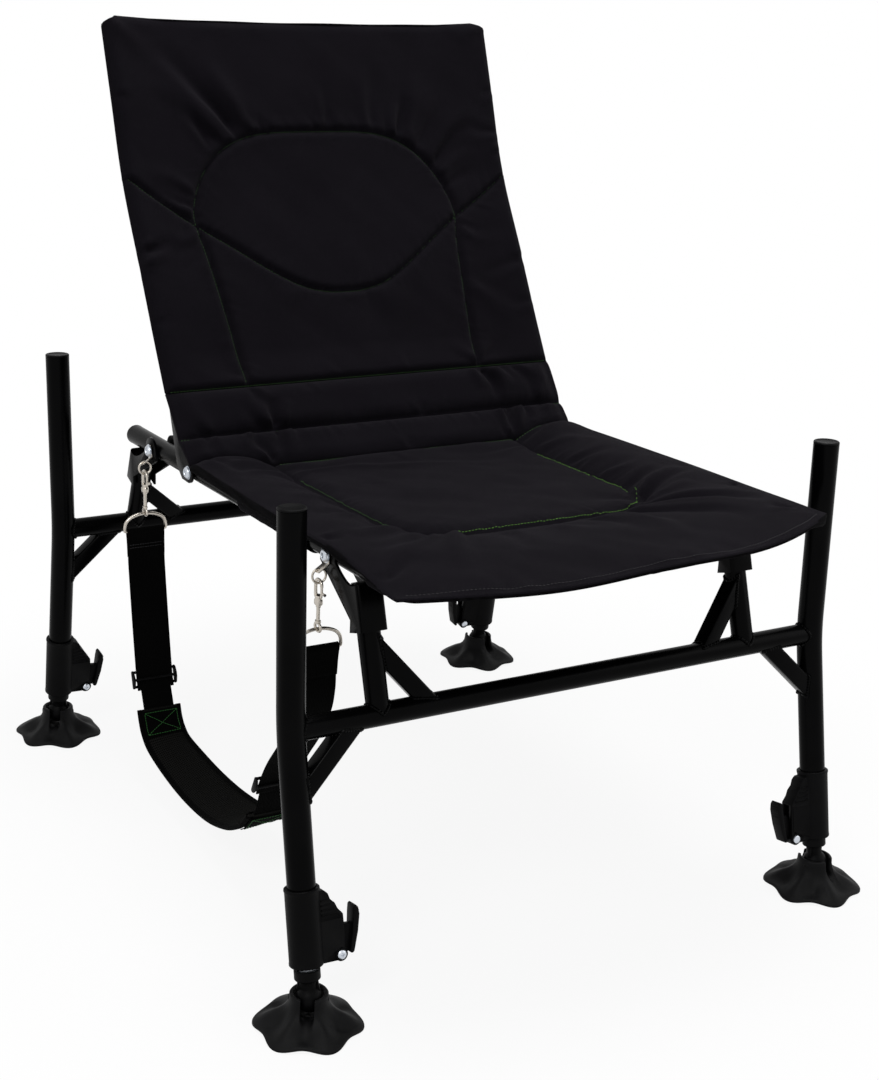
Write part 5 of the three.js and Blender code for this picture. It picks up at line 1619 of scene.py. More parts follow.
class Cloth:
    """Closed pieces of cloth, drawn from grids of points in the chair's millimetres."""

    @staticmethod
    def mesh(places: Array, faces: list, flat: Array | None = None) -> Piece:
        """A smooth piece from points and faces, with its weave's map in metres."""
        data = bpy.data.meshes.new("cloth")
        data.from_pydata(places, [], faces)
        data.polygons.foreach_set("use_smooth", np.ones(len(data.polygons), bool))
        if flat is not None:
            corners = np.empty(len(data.loops), int)
            data.loops.foreach_get("vertex_index", corners)
            data.uv_layers.new(name="Weave").data.foreach_set("uv", (flat[corners] / 1000).ravel())
        data.update()
        piece = bpy.data.objects.new("cloth", data)
        bpy.context.scene.collection.objects.link(piece)
        return piece

    @staticmethod
    def normals(grid: Array) -> Array:
        """The directions square to a grid's face."""
        square = np.cross(np.gradient(grid, axis=1), np.gradient(grid, axis=0))
        return square / np.maximum(np.linalg.norm(square, axis=-1, keepdims=True), 1e-9)

    @classmethod
    def shell(cls, front: Array, back: Array, flat: Array, bulge: float = 0.8, rows: int = 2) -> Piece:
        """A closed piece between two faces with a rounded rim.

        Args:
            front: the front face's points, by row and column.
            back: the back face's points.
            flat: the pattern's places of the same points.
            bulge: how far the rim swells.
            rows: rows of points round the rim.

        Returns:
            The piece.
        """
        high, wide = front.shape[:2]
        index = np.arange(high * wide).reshape(high, wide)
        quads = np.stack((index[:-1, :-1], index[:-1, 1:], index[1:, 1:], index[1:, :-1]), -1).reshape(-1, 4)
        loop = np.concatenate((index[0, :-1], index[:-1, -1], index[-1, :0:-1], index[:0:-1, 0]))
        ends, behind = front.reshape(-1, 3)[loop], back.reshape(-1, 3)[loop]
        inner = np.concatenate((index[1, :-1], index[:-1, -2], index[-2, :0:-1], index[:0:-1, 1]))
        out = ends - front.reshape(-1, 3)[inner]
        out[[0, wide - 1, wide + high - 2, 2 * wide + high - 3]] *= 0.5
        out /= np.maximum(np.linalg.norm(out, axis=-1, keepdims=True), 1e-9)
        places, flats = [front.reshape(-1, 3), back.reshape(-1, 3)], [flat.reshape(-1, 2)] * 2
        rings = [loop]
        for k in range(1, rows + 1):
            share = k / (rows + 1)
            rings.append(2 * high * wide + (k - 1) * len(loop) + np.arange(len(loop)))
            places.append(ends * (1 - share) + behind * share + out * bulge * math.sin(math.pi * share))
            flats.append(flat.reshape(-1, 2)[loop] + 3 * share)
        rings.append(loop + high * wide)
        faces = [quads, quads[:, ::-1] + high * wide]
        for near, far in zip(rings, rings[1:]):
            faces.append(np.stack((near, far, np.roll(far, -1), np.roll(near, -1)), -1))
        return cls.mesh(np.vstack(places), np.vstack(faces).tolist(), np.vstack(flats))

    @staticmethod
    def cut(*grids: Array) -> dict[str, object]:
        """The flat size and area, in metres, of the cloth that some grids are made of, end to end."""
        wide, long, area = 0.0, 0.0, 0.0
        for grid in grids:
            across = np.linalg.norm(np.diff(grid, axis=1), axis=-1)
            along = np.linalg.norm(np.diff(grid, axis=0), axis=-1)
            wide = max(wide, across.sum(axis=1).max())
            long += along.sum(axis=0).max()
            area += (
                np.linalg.norm(np.cross(np.diff(grid, axis=1)[:-1], np.diff(grid, axis=0)[:, :-1]), axis=-1)
            ).sum()
        area = min(area, wide * long)
        return {"flat": (wide / 1000, long / 1000), "area": area / 1e6}

    @classmethod
    def sheet(cls, grid: Array, flat: Array, thick: Array | float, bulge: float = 0.3) -> Piece:
        """A closed sheet about a grid of points, with its thickness at each of them."""
        off = cls.normals(grid) * (np.asarray(thick, float)[..., None] / 2 if np.ndim(thick) else thick / 2)
        return cls.shell(grid + off, grid - off, flat, bulge, 1)

    @staticmethod
    def band_grid(line: Line, half: float, shares: Array, roll: Callable[[Array], Array] | None = None,
                  pitch: float = 3) -> tuple[Array, Array]:
        """The points of a band along a line of the chair's side plane, at the strap's place.

        Args:
            line: its middle, by y and z.
            half: half of its width.
            shares: places across it, from -1 to 1.
            roll: how far it leans at a share of its length, in radians.
            pitch: the distance between its rows.

        Returns:
            The points, by row and column, and their places on the flat pattern.
        """
        rows = np.linspace(0, line.length, max(4, round(line.length / pitch)))
        middle = line.at(rows)
        ahead = line.at(np.minimum(rows + 1, line.length)) - line.at(np.maximum(rows - 1, 0))
        ahead /= np.linalg.norm(ahead, axis=1, keepdims=True)
        lean = roll(rows / line.length) if roll else np.zeros(len(rows))
        across = np.stack((np.cos(lean), ahead[:, 1] * np.sin(lean), -ahead[:, 0] * np.sin(lean)), -1)
        centre = np.column_stack((np.full(len(rows), Chair.STRAP_X), middle))
        grid = centre[:, None] + across[:, None] * (np.asarray(shares) * half)[None, :, None]
        flat = np.stack(np.broadcast_arrays((np.asarray(shares) * half)[None, :], rows[:, None]), -1)
        return grid, flat


class Ripple:
    """Uneven waves along a line, strong in some places and weak in others."""

    def __init__(self, draw: np.random.Generator, sizes: Sequence[float]) -> None:
        """Draws one wave for each size."""
        self.waves = [
            (
                2 * math.pi / size, draw.uniform(0, 6.3),
                2 * math.pi / (size * draw.uniform(3, 7)), draw.uniform(0, 6.3)
            )
            for size in sizes
        ]

    def __call__(self, along: Array) -> Array:
        """The waves' height, about from -1 to 1."""
        total = sum(np.sin(along * turn + phase) * (0.5 + 0.5 * np.sin(along * slow + start)) ** 2
                    for turn, phase, slow, start in self.waves)
        return total * 1.5 / len(self.waves)


@dataclass(frozen=True)
class Seam:
    """A sewn line on a cover's pattern, how deep its puckers are and the thread it shows."""

    points: tuple[Pair, ...]
    pucker: float = 1.0
    steps: int = 6
    thread: Finish | None = None


@dataclass(frozen=True)
class Fold:
    """A soft fold on a cover's pattern, fading from its start to its end. A hollow has a negative height."""

    points: tuple[Pair, ...]
    height: float
    width: float = 8

    @classmethod
    def table(cls, *rows: tuple[float, ...]) -> "tuple[Fold, ...]":
        """Folds by their height, their width and the places of their line, two numbers each."""
        return tuple(cls(tuple(zip(row[2::2], row[3::2])), *row[:2]) for row in rows)

    def lift(self, spots: Array) -> Array:
        """The fold's height at each spot."""
        line = Line(self.points, 6)
        signed, along, _ = line.near(spots)
        share = along / line.length
        width = self.width * (0.6 + 0.9 * share)
        fade = np.clip(share * 5 + 0.35, 0, 1) * (1 - share) ** 0.7
        return (
            self.height * fade
            * (np.exp(-((signed / width) ** 2)) - 0.55 * np.exp(-(((signed - 1.5 * width) / width) ** 2)))
        )


class Stitching:
    """Single stitches laid in rows."""

    PITCH, LENGTH, RADIUS = 4.2, 3.1, 0.42

    @classmethod
    def lay(cls, places: Array, ways: Array, ups: Array) -> Piece:
        """One piece with a stitch at each place, along a way, with its back turned up."""
        ways = ways / np.linalg.norm(ways, axis=1, keepdims=True)
        ups = ups - ways * np.sum(ways * ups, axis=1, keepdims=True)
        ups /= np.linalg.norm(ups, axis=1, keepdims=True)
        sides = 6
        near, far, last = 1, 1 + sides, 1 + 2 * sides
        turns = [2 * math.pi * k / sides for k in range(sides)]
        rings = [(share, math.cos(t), math.sin(t) + 0.1) for share in (-0.3, 0.3) for t in turns]
        stitch = np.array([(-0.5, 0, -0.9), *rings, (0.5, 0, -0.9)]) * (cls.LENGTH, cls.RADIUS, cls.RADIUS)
        frame_of = np.stack((ways, np.cross(ups, ways), ups), axis=1)
        points = places[:, None] + np.einsum("vk,nkc->nvc", stitch, frame_of)
        steps = [(k, (k + 1) % sides) for k in range(sides)]
        wall = [(near + a, near + b, far + b, far + a) for a, b in steps]
        caps = [(0, near + b, near + a) for a, b in steps] + [(last, far + a, far + b) for a, b in steps]
        faces = [
            tuple(corner + (last + 1) * n for corner in face)
            for n in range(len(places)) for face in wall + caps
        ]
        return Cloth.mesh(points.reshape(-1, 3), faces)


class Padding:
    """A filled part of the cover, shaped over its flat pattern."""

    pitch = 2.9
    crown = 13.0
    reach = 24.0
    seed = 1
    crease = 1.0
    seams: Sequence[Seam] = ()
    folds: Sequence[Fold] = ()

    def __init__(self) -> None:
        """Draws the unevenness of the filling and of each seam."""
        draw = np.random.default_rng(self.seed)
        self.lines = [Line(seam.points, seam.steps) for seam in self.seams]
        self.ripples = [
            [(Ripple(draw, (11, 15, 19, 27)), draw.uniform(-0.7, 0.7)) for _ in range(2)] for _ in self.seams
        ]
        sizes = draw.uniform(45, 190, 14)
        turns = draw.uniform(0, math.pi, 14)
        self.waves = [
            (np.array((math.cos(t), math.sin(t))) * 2 * math.pi / s, draw.uniform(0, 6.3), s / 190)
            for s, t in zip(sizes, turns)
        ]

    def spots(self) -> Array:
        """The pattern's grid."""
        raise NotImplementedError

    def base(self, spots: Array) -> tuple[Array, Array]:
        """The unfilled cover's place, and the way out of it."""
        raise NotImplementedError

    def faces(self, spots: Array) -> tuple[Array, Array]:
        """How far the front and the back lie out of the unfilled cover."""
        raise NotImplementedError

    def swell(self, distance: Array, crown: float | None = None, reach: float | None = None) -> Array:
        """How far the filling swells, by the distance to a seam."""
        share = np.clip(distance / (reach or self.reach), 0, 1)
        return (crown or self.crown) * (1 - (1 - share) ** 2) ** 0.62

    def drift(self, spots: Array) -> Array:
        """The filling's slow unevenness, about from -1 to 1."""
        total = 0
        for way, phase, high in self.waves:
            turn = spots @ way + phase + 1.3 * np.sin(spots @ way[::-1] * 0.6 + 2 * phase)
            total = total + high * np.sin(turn)
        return total / 2.6

    def drawn(self, spots: Array) -> tuple[Array, Array, Array]:
        """Distance to the nearest seam, that seam's nearest point, and the puckers' and the folds' height."""
        nearest, foot = np.full(spots.shape[:-1], 1e3), np.zeros_like(spots)
        height = np.zeros(spots.shape[:-1])
        for seam, line, sides in zip(self.seams, self.lines, self.ripples):
            signed, along, here = line.near(spots)
            distance = np.abs(signed)
            closer = distance < nearest
            nearest, foot[closer] = np.minimum(nearest, distance), here[closer]
            for way, (ripple, slant) in zip((-1, 1), sides):
                wave = ripple(along + slant * distance) * np.exp(1 - distance / 7) * distance / 7
                height += np.where(signed * way > 0, wave * seam.pucker, 0)
        for fold in self.folds:
            height += fold.lift(spots) * self.crease * np.clip(nearest / 5, 0.15, 1)
        return nearest, foot, height

    def fitted(self) -> Array:
        """The pattern's grid, with the points next to a seam moved onto it."""
        spots = self.spots()
        nearest, foot, _ = self.drawn(spots)
        inside = np.zeros(nearest.shape, bool)
        inside[1:-1, 1:-1] = True
        close = (nearest < self.pitch * 0.52) & inside
        spots[close] = foot[close]
        return spots

    def build(self, bulge: float) -> Piece:
        """The closed, filled piece."""
        spots = self.fitted()
        places, out = self.base(spots)
        front, back = self.faces(spots)
        return Cloth.shell(places + out * front[..., None], places + out * back[..., None], spots, bulge, 3)

    def sew(self, lines: Sequence[Line], lift: float = 0.35) -> Piece:
        """Stitches along lines of the pattern, on the filled face."""
        parts = []
        for line in lines:
            middle = np.arange(3, line.length - 2, Stitching.PITCH)
            ends = []
            for offset in (-1.2, 0, 1.2):
                spots = line.at(middle + offset)
                places, out = self.base(spots)
                ends.append(places + out * (self.faces(spots)[0] + lift)[..., None])
            parts.append((ends[1], ends[2] - ends[0], out))
        return Stitching.lay(*(np.vstack(rows) for rows in zip(*parts)))


def mirrored(half: Sequence[Pair]) -> tuple[Pair, ...]:
    """A line across the cover from its right half, whose last point is in the middle."""
    return (*half, *((-x, z) for x, z in half[-2::-1]))


class BackCover(Padding):
    """The backrest's cover above its lowest cross seam. Its pattern runs across and up the face."""

    HALF, TOP = 275.0, 655.0
    THICK = 12.2
    seed = 23
    crease = 1.35
    rise = Line([(150, 225), (186, 285), (221, 345), (289, 460), (328, 560), (364, 655)], 10)

    @classmethod
    def up(cls, z: float) -> float:
        """The place up the face at a height."""
        return float(np.interp(z, cls.rise.spots[:, 1], cls.rise.places))

    @classmethod
    def drawn_at(cls, points: Sequence[Pair]) -> tuple[Pair, ...]:
        """Points across the pattern, from points by x and height."""
        return tuple((x, cls.up(z)) for x, z in points)

    def __init__(self) -> None:
        """Draws the seams and the folds of the backrest."""
        oval = mirrored([(189, 410), (186, 431), (171, 462), (145, 490), (112, 508), (70, 516.5), (0, 518)])
        arc = mirrored([(189, 410), (145, 384), (100, 356), (60, 336), (25, 328), (0, 327)])
        lines = [
            (oval, 1.0, 8), (arc, 0.9, 6), ([(-189, 410), (-232, 437), (-271, 464)], 1.5, 4),
            ([(189, 410), (232, 432), (271, 456)], 1.3, 4),
            ([(-189, 410), (-182, 372), (-172, 290), (-168, 228)], 0.8, 4),
            ([(189, 410), (181, 372), (173, 290), (166, 228)], 0.8, 4)
        ]
        self.seams = [
            Seam(self.drawn_at(points), pucker, steps, DARK_THREAD) for points, pucker, steps in lines
        ]
        folds = Fold.table(
            (-7.5, 9, -116, 514, -138, 545, -170, 580, -206, 622),
            (4.5, 9, -133, 508, -158, 535, -184, 556, -222, 580),
            (4, 11, -98, 520, -112, 548, -136, 588, -150, 625), (-3, 7, -154, 500, -176, 545, -196, 566),
            (-2.6, 5, -78, 520, -86, 540), (2, 5, -60, 521, -64, 536), (2.2, 5, -92, 519, -101, 534),
            (-2.4, 6, 14, 521, 18, 545, 16, 580), (1.8, 5, 2, 521, 4, 536), (1.6, 6, 30, 521, 36, 540),
            (-3.4, 10, 84, 520, 86, 550, 97, 604), (-4.2, 6, 120, 510, 124, 526, 138, 560),
            (3.2, 6, 110, 512, 112, 530, 120, 552), (3.6, 9, 132, 504, 142, 530, 156, 590),
            (-2.8, 9, 146, 494, 168, 522, 196, 560), (-5, 8, 168, 474, 190, 496, 214, 515, 246, 524),
            (4, 8, 176, 462, 204, 480, 238, 488), (-2.6, 7, 183, 446, 206, 458, 236, 464),
            (3.2, 8, -184, 446, -210, 462, -246, 476), (-3.8, 7, -187, 430, -216, 440, -250, 456),
            (-4.6, 7, -270, 380, -246, 384, -226, 396), (4, 7, -272, 366, -250, 374, -236, 386),
            (3, 9, -190, 400, -212, 392, -246, 396), (-2.2, 9, -184, 380, -204, 366, -232, 352),
            (-2.6, 9, 272, 350, 240, 345, 206, 336, 178, 330), (2.4, 12, 186, 326, 206, 306, 240, 278),
            (2.6, 9, 188, 392, 210, 380, 244, 372), (-3, 6, 273, 566, 252, 560),
            (-3.2, 7, 271, 512, 250, 514, 226, 520), (2.6, 6, 272, 490, 254, 492),
            (-2.2, 7, 270, 300, 250, 298, 230, 306), (-2.2, 7, -272, 560, -252, 552),
            (-1.8, 8, -270, 300, -246, 306), (2.6, 12, -265, 645, -240, 625, -214, 606),
            (2.4, 10, 258, 646, 232, 628), (2.4, 9, 166, 232, 150, 244, 128, 262),
            (-2.4, 8, 172, 232, 196, 244, 214, 262), (2.2, 8, -168, 232, -148, 246),
            (-2.2, 8, -172, 234, -194, 250), (-1.5, 7, 60, 232, 66, 252), (-1.4, 7, -40, 232, -44, 250),
            (1.6, 14, -64, 330, -90, 318, -118, 300), (-1.5, 16, 20, 324, 34, 304, 40, 276),
        )
        self.folds = [Fold(self.drawn_at(fold.points), fold.height, fold.width) for fold in folds]
        super().__init__()

    def spots(self) -> Array:
        """The pattern's grid."""
        across = np.linspace(-1, 1, round(2 * self.HALF / self.pitch))
        along = np.linspace(0, self.rise.length, round(self.rise.length / self.pitch))
        narrow = 19 * eased(along, self.up(self.TOP - 15), self.rise.length) ** 2
        x = across[None] * (self.HALF - narrow)[:, None]
        return np.stack((x, np.broadcast_to(along[:, None], x.shape)), -1)

    def base(self, spots: Array) -> tuple[Array, Array]:
        """The unfilled cover's place, and the way out of it."""
        places = self.rise.at(spots[..., 1])
        step = self.rise.at(spots[..., 1] + 12) - self.rise.at(spots[..., 1] - 12)
        step /= np.linalg.norm(step, axis=-1, keepdims=True)
        sag = (
            3.5 * (1 - (spots[..., 0] / self.HALF) ** 2)
            * eased(spots[..., 1], self.up(520), self.rise.length)
        )
        y, z = places[..., 0] - step[..., 0] * sag, places[..., 1] - step[..., 1] * sag
        return np.stack((spots[..., 0], y, z), -1), np.stack((0 * y, -step[..., 1], step[..., 0]), -1)

    def faces(self, spots: Array) -> tuple[Array, Array]:
        """How far the front and the back lie out of the unfilled cover."""
        x, up = np.abs(spots[..., 0]), spots[..., 1]
        nearest, _, drawn = self.drawn(spots)
        to_side, to_top, to_low = self.HALF - x, self.rise.length - up, up
        edge = np.minimum(
            self.swell(np.maximum(to_side, 0), 9, 15), self.swell(np.maximum(to_top, 0), 10, 20)
        )
        fill = np.minimum(np.minimum(edge, self.swell(nearest)), self.swell(to_low))
        dip = eased(to_side, 0, self.HALF * 0.33) * self.crown * 0.6 * eased(to_low, 0, 48)
        hem = 1.4 * eased(up, self.up(356) - 1, self.up(356) + 1) * (1 - eased(to_side, 8, 30))
        calm = eased(np.minimum(np.minimum(to_side, to_top), to_low), 0, 14)
        front = (
            fill - dip + drawn * (0.35 + 0.65 * calm) * eased(to_low, 0, 6)
            + self.drift(spots) * 1.5 * eased(nearest, 0, 26) * calm + hem
        )
        back = -2.5 - (self.THICK - 2.5) * eased(np.minimum(to_side, to_top), 0, 22)
        return front, np.minimum(back, front - 2.5)


class LumbarRolls(Padding):
    """The two rolls of the cover between the seat's rear seam and the backrest's lowest cross seam."""

    pitch = 2.5
    crown = 12.5
    reach = 19.0
    seed = 41
    crease = 1.9
    MIDDLE, LENGTH, HALF = 55.0, 118.0, 272.0
    seams = (Seam(((-274, 55), (-90, 55.5), (90, 54.6), (274, 55)), 1.1, 8, DARK_THREAD),)
    folds = Fold.table(
        (-5.5, 6, 166, 116, 172, 102, 176, 84, 172, 68), (4, 8, 182, 116, 192, 98, 200, 78),
        (3.4, 7, 150, 116, 154, 98, 160, 84), (-3, 8, 212, 114, 226, 96, 236, 76),
        (2.6, 8, 236, 60, 246, 84, 262, 100), (-5, 6, 190, 52, 182, 34, 170, 10),
        (3.6, 7, 204, 50, 196, 30, 184, 12), (3.2, 6, 172, 50, 168, 34, 158, 18),
        (3, 6, 168, 4, 172, 22, 178, 40), (-2.6, 8, 240, 50, 228, 30, 214, 14),
        (-4.4, 6, -148, 58, -150, 76, -148, 96), (3.2, 7, -160, 58, -168, 78, -172, 98),
        (2.8, 7, -136, 58, -132, 76, -124, 92), (-2.8, 7, -168, 114, -164, 98, -158, 84),
        (-4.4, 6, -148, 52, -152, 34, -164, 14), (-4, 7, -168, 4, -176, 22, -186, 42),
        (3.4, 8, -184, 52, -196, 34, -208, 16), (2.6, 7, -132, 52, -136, 34, -146, 20),
        (2.4, 9, -236, 58, -244, 78, -252, 98), (-3, 8, -240, 50, -246, 30, -250, 12),
        (-1.6, 7, 60, 58, 64, 74), (-1.4, 7, -40, 52, -44, 36), (-1.4, 8, 20, 4, 24, 20),
        (-1.4, 7, -90, 114, -94, 100),
    )

    def spots(self) -> Array:
        """The pattern's grid."""
        along = np.linspace(0, self.LENGTH, round(self.LENGTH / self.pitch) + 1)
        across = np.linspace(-1, 1, round(2 * BackCover.HALF / self.pitch))
        half = self.HALF + 3 * along / self.LENGTH
        x = across[None] * half[:, None]
        return np.stack((x, np.broadcast_to(along[:, None], x.shape)), -1)

    def base(self, spots: Array) -> tuple[Array, Array]:
        """The unfilled cover's place, and the way out of it."""
        x, along = spots[..., 0], spots[..., 1]
        y0 = SeatCover.seam_y(x) + 0.3
        z0 = rail_z(SeatCover.seam_y(x)) + SeatCover.seam_level(x)
        low = np.clip(along / self.MIDDLE, 0, 1)
        high = np.clip((along - self.MIDDLE) / (self.LENGTH - self.MIDDLE), 0, 1)
        y = y0 + (111 - y0) * low + 39 * high
        z = z0 + (176 - z0) * low + 49 * high
        angle = mixed(
            math.atan2(46, 32), math.atan2(39, 49), eased(along, self.MIDDLE - 14, self.MIDDLE + 14)
        )
        return np.stack((x, y, z), -1), np.stack((0 * y, -np.cos(angle), np.sin(angle)), -1)

    def faces(self, spots: Array) -> tuple[Array, Array]:
        """How far the front and the back lie out of the unfilled cover."""
        x, along = np.abs(spots[..., 0]), spots[..., 1]
        nearest, _, drawn = self.drawn(spots)
        border = np.minimum(along, self.LENGTH - along)
        side = mixed(0.35, 1.0, eased(self.HALF - x, 0, 22))
        drift = self.drift(spots) * 1.1
        front = (
            self.swell(np.minimum(nearest, border)) * side
            + (drawn + drift * eased(nearest, 0, 16)) * eased(border, 0, 10) * side
        )
        thin = mixed(0.3, 1.0, eased(self.HALF - x, 0, 18))
        back = -mixed(2.0, BackCover.THICK, eased(along, 0, 40)) * thin
        return front, np.minimum(back, front - 2)


class SeatCover(Padding):
    """The seat's cover: a sewn centre panel, a roll round three of its sides and a thin front hem."""

    HALF, FRONT, CORNER = 276.0, 486.0, 430.0
    PANEL, PANEL_FRONT, ROUND = 172.0, 274.0, 76.0
    pitch = 3.0
    reach = 26.0
    seed = 7
    crease = 1.25
    folds = Fold.table(
        (-7, 8, 151, -238, 178, -226, 214, -210, 262, -196), (4.5, 9, 155, -224, 178, -210, 216, -190),
        (4, 9, 153, -253, 182, -248, 226, -244), (5, 11, 104, -278, 150, -294, 196, -327, 232, -370),
        (-5, 9, 120, -268, 166, -282, 214, -313, 250, -348),
        (-5, 10, 92, -288, 132, -317, 168, -356, 196, -401), (4, 12, 60, -297, 76, -333, 84, -383, 82, -426),
        (-3.4, 10, 36, -299, 46, -338, 50, -393), (2.6, 13, -14, -297, -16, -333, -10, -381),
        (-3, 11, -70, -297, -82, -333, -100, -397),
        (4.4, 11, -120, -292, -142, -321, -168, -370, -186, -413),
        (-5.4, 9, -146, -276, -172, -301, -210, -323, -246, -331),
        (-3.4, 9, -140, -284, -158, -315, -194, -358), (4.4, 10, -168, -258, -196, -268, -240, -282),
        (-2.8, 9, -174, -228, -200, -244, -232, -264), (-4, 8, -174, -190, -204, -182, -240, -192),
        (3, 9, -174, -120, -200, -116, -238, -124), (-3, 8, -174, -96, -196, -84, -230, -80),
        (3.2, 9, -172, -10, -196, 4, -232, 6), (-5.4, 8, -176, 38, -204, 44, -246, 60),
        (-4, 8, -176, 16, -206, 12, -250, 22), (3.6, 9, -262, 64, -252, 20, -258, -30),
        (-3.4, 8, 174, 46, 204, 54, 246, 72), (2.6, 10, 176, 10, 206, 2, 244, 6),
        (-2.8, 9, 176, -60, 204, -70, 244, -66), (2.8, 10, 176, -130, 206, -140, 246, -134),
        (-3, 9, 176, -186, 206, -180, 250, -168), (2.6, 8, -176, 16, -90, 18, 10, -6, 118, -34),
        (-1.6, 8, -170, 34, -120, 30, -60, 36), (-1.6, 8, 168, 30, 120, 20, 60, 26),
        (-1.5, 16, -97, -40, -101, -116), (1.3, 20, 60, -90, 92, -150),
        (-2.2, 11, 150, -244, 118, -227, 92, -207), (-1.8, 11, -158, -248, -130, -236, -104, -226),
        (-3, 8, 270, -271, 248, -286), (-3, 8, -272, -271, -250, -280),
        (-4, 9, -262, -393, -236, -374, -214, -364), (-3.6, 9, 254, -387, 232, -368),
        (-1.4, 9, -20, 40, -24, 12),
    )

    def __init__(self) -> None:
        """Draws the centre panel's seam."""
        half, front, r = self.PANEL, self.PANEL_FRONT, self.ROUND
        turns = [math.pi / 2 * k / 10 for k in range(11)]
        corner = [(half - r + r * math.cos(t), -front + r - r * math.sin(t)) for t in turns]
        self.panel = ((half, self.seam_y(half)), (half, -60), (half, -150), *corner, (0, -front))
        self.seams = (Seam(mirrored(self.panel), 1.0, 2, DARK_THREAD),)
        super().__init__()

    @staticmethod
    def seam_y(x: Array) -> Array:
        """Where the rear seam runs."""
        return 65 + 16 * eased(np.abs(x), 167, 276)

    @staticmethod
    def seam_level(x: Array) -> Array:
        """How far the rear seam lies above the rails' axes."""
        return 10.7 + 8.5 * eased(np.abs(x), 167, 226)

    def front_y(self, share: Array) -> Array:
        """Where the front hem runs, by the share of the half width."""
        return -mixed(self.FRONT, self.CORNER, np.abs(share) ** 3) + 8 * share * np.abs(share)

    @staticmethod
    def hem_level(share: Array) -> Array:
        """How far the front hem's underside lies above the rails' axes. It rises from left to right."""
        return 11.5 + 8 * share + 1.5 * np.sin(7 * share + 1)

    def spots(self) -> Array:
        """The pattern's grid."""
        share = np.linspace(-1, 1, round(2 * self.HALF / self.pitch))
        along = np.linspace(0, 1, round((self.FRONT + 80) / self.pitch))[:, None]
        half = self.HALF - 4 * along + 4 * np.sin(along * math.pi) ** 2
        x = share * half
        front, rear = self.front_y(share), self.seam_y(x) - 0.3
        return np.stack((x, front + (rear - front) * along), -1)

    def base(self, spots: Array) -> tuple[Array, Array]:
        """The rails' level, and the way up from it."""
        x, y = spots[..., 0], spots[..., 1]
        return np.stack((x, y, rail_z(y)), -1), np.broadcast_to((0.0, 0.0, 1.0), (*x.shape, 3))

    def faces(self, spots: Array) -> tuple[Array, Array]:
        """How far the top and the underside lie above the rails' level."""
        x, y = np.abs(spots[..., 0]), spots[..., 1]
        nearest, _, drawn = self.drawn(spots)
        r = self.ROUND
        middle, long_half = (65 + 2 * r - self.PANEL_FRONT) / 2, (self.PANEL_FRONT + 65) / 2 + r
        dx, dy = x - self.PANEL + r, np.abs(y - middle) - long_half + r
        outside = np.hypot(np.maximum(dx, 0), np.maximum(dy, 0)) + np.minimum(np.maximum(dx, dy), 0) - r
        to_front = y - self.front_y(spots[..., 0] / self.HALF)
        to_side, to_rear = np.maximum(self.HALF + 1 - x, 0), np.maximum(self.seam_y(x) - y, 0)
        edge = np.maximum(np.minimum(to_side, np.maximum(to_front, 0)), 0)
        level = mixed(self.seam_level(x), 5.0, eased(to_rear, 0, 78))
        inner = level + self.swell(np.minimum(np.abs(outside), to_rear), 9)
        share = np.maximum(outside, 0) / np.maximum(np.maximum(outside, 0) + edge, 1e-6)
        low = self.hem_level(spots[..., 0] / self.HALF)
        rim = mixed(low + 5.0, 25.0, eased(to_front, 0, 150))
        bulge = 11.5 * np.sin(np.pi * np.clip(share, 0, 1) ** 0.72) + 2 * np.sin(np.pi * share ** 1.6)
        outer = mixed(
            self.seam_level(x), mixed(level, rim, share) + bulge,
            (1 - (1 - np.clip(to_rear / 24, 0, 1)) ** 2) ** 0.6
        )
        calm = eased(np.minimum(edge, to_rear), 0, 12)
        top = (
            np.where(outside < 0, inner, outer)
            + (drawn + self.drift(spots) * 1.5 * eased(nearest, 0, 30)) * calm
        )
        top += (
            0.9 * Ripple(np.random.default_rng(5), (34, 52, 71))(x * np.sign(spots[..., 0]) + 300)
            * (1 - eased(to_front, 10, 60)) * eased(to_front, 0, 10)
        )
        over_rail = eased(x, Chair.RAIL_X - 42.5, Chair.RAIL_X - 23)
        behind = eased(y, -337.5, -300)
        ear = (1 - eased(np.abs(y + 253), 30, 68)) * over_rail
        floor = mixed(13.4, 17.5, ear)
        ahead = mixed(low, 13.4, eased(y, -448, -426))
        under = mixed(ahead, mixed(-9.0, floor, over_rail), behind)
        return top, np.minimum(under, top - 3)


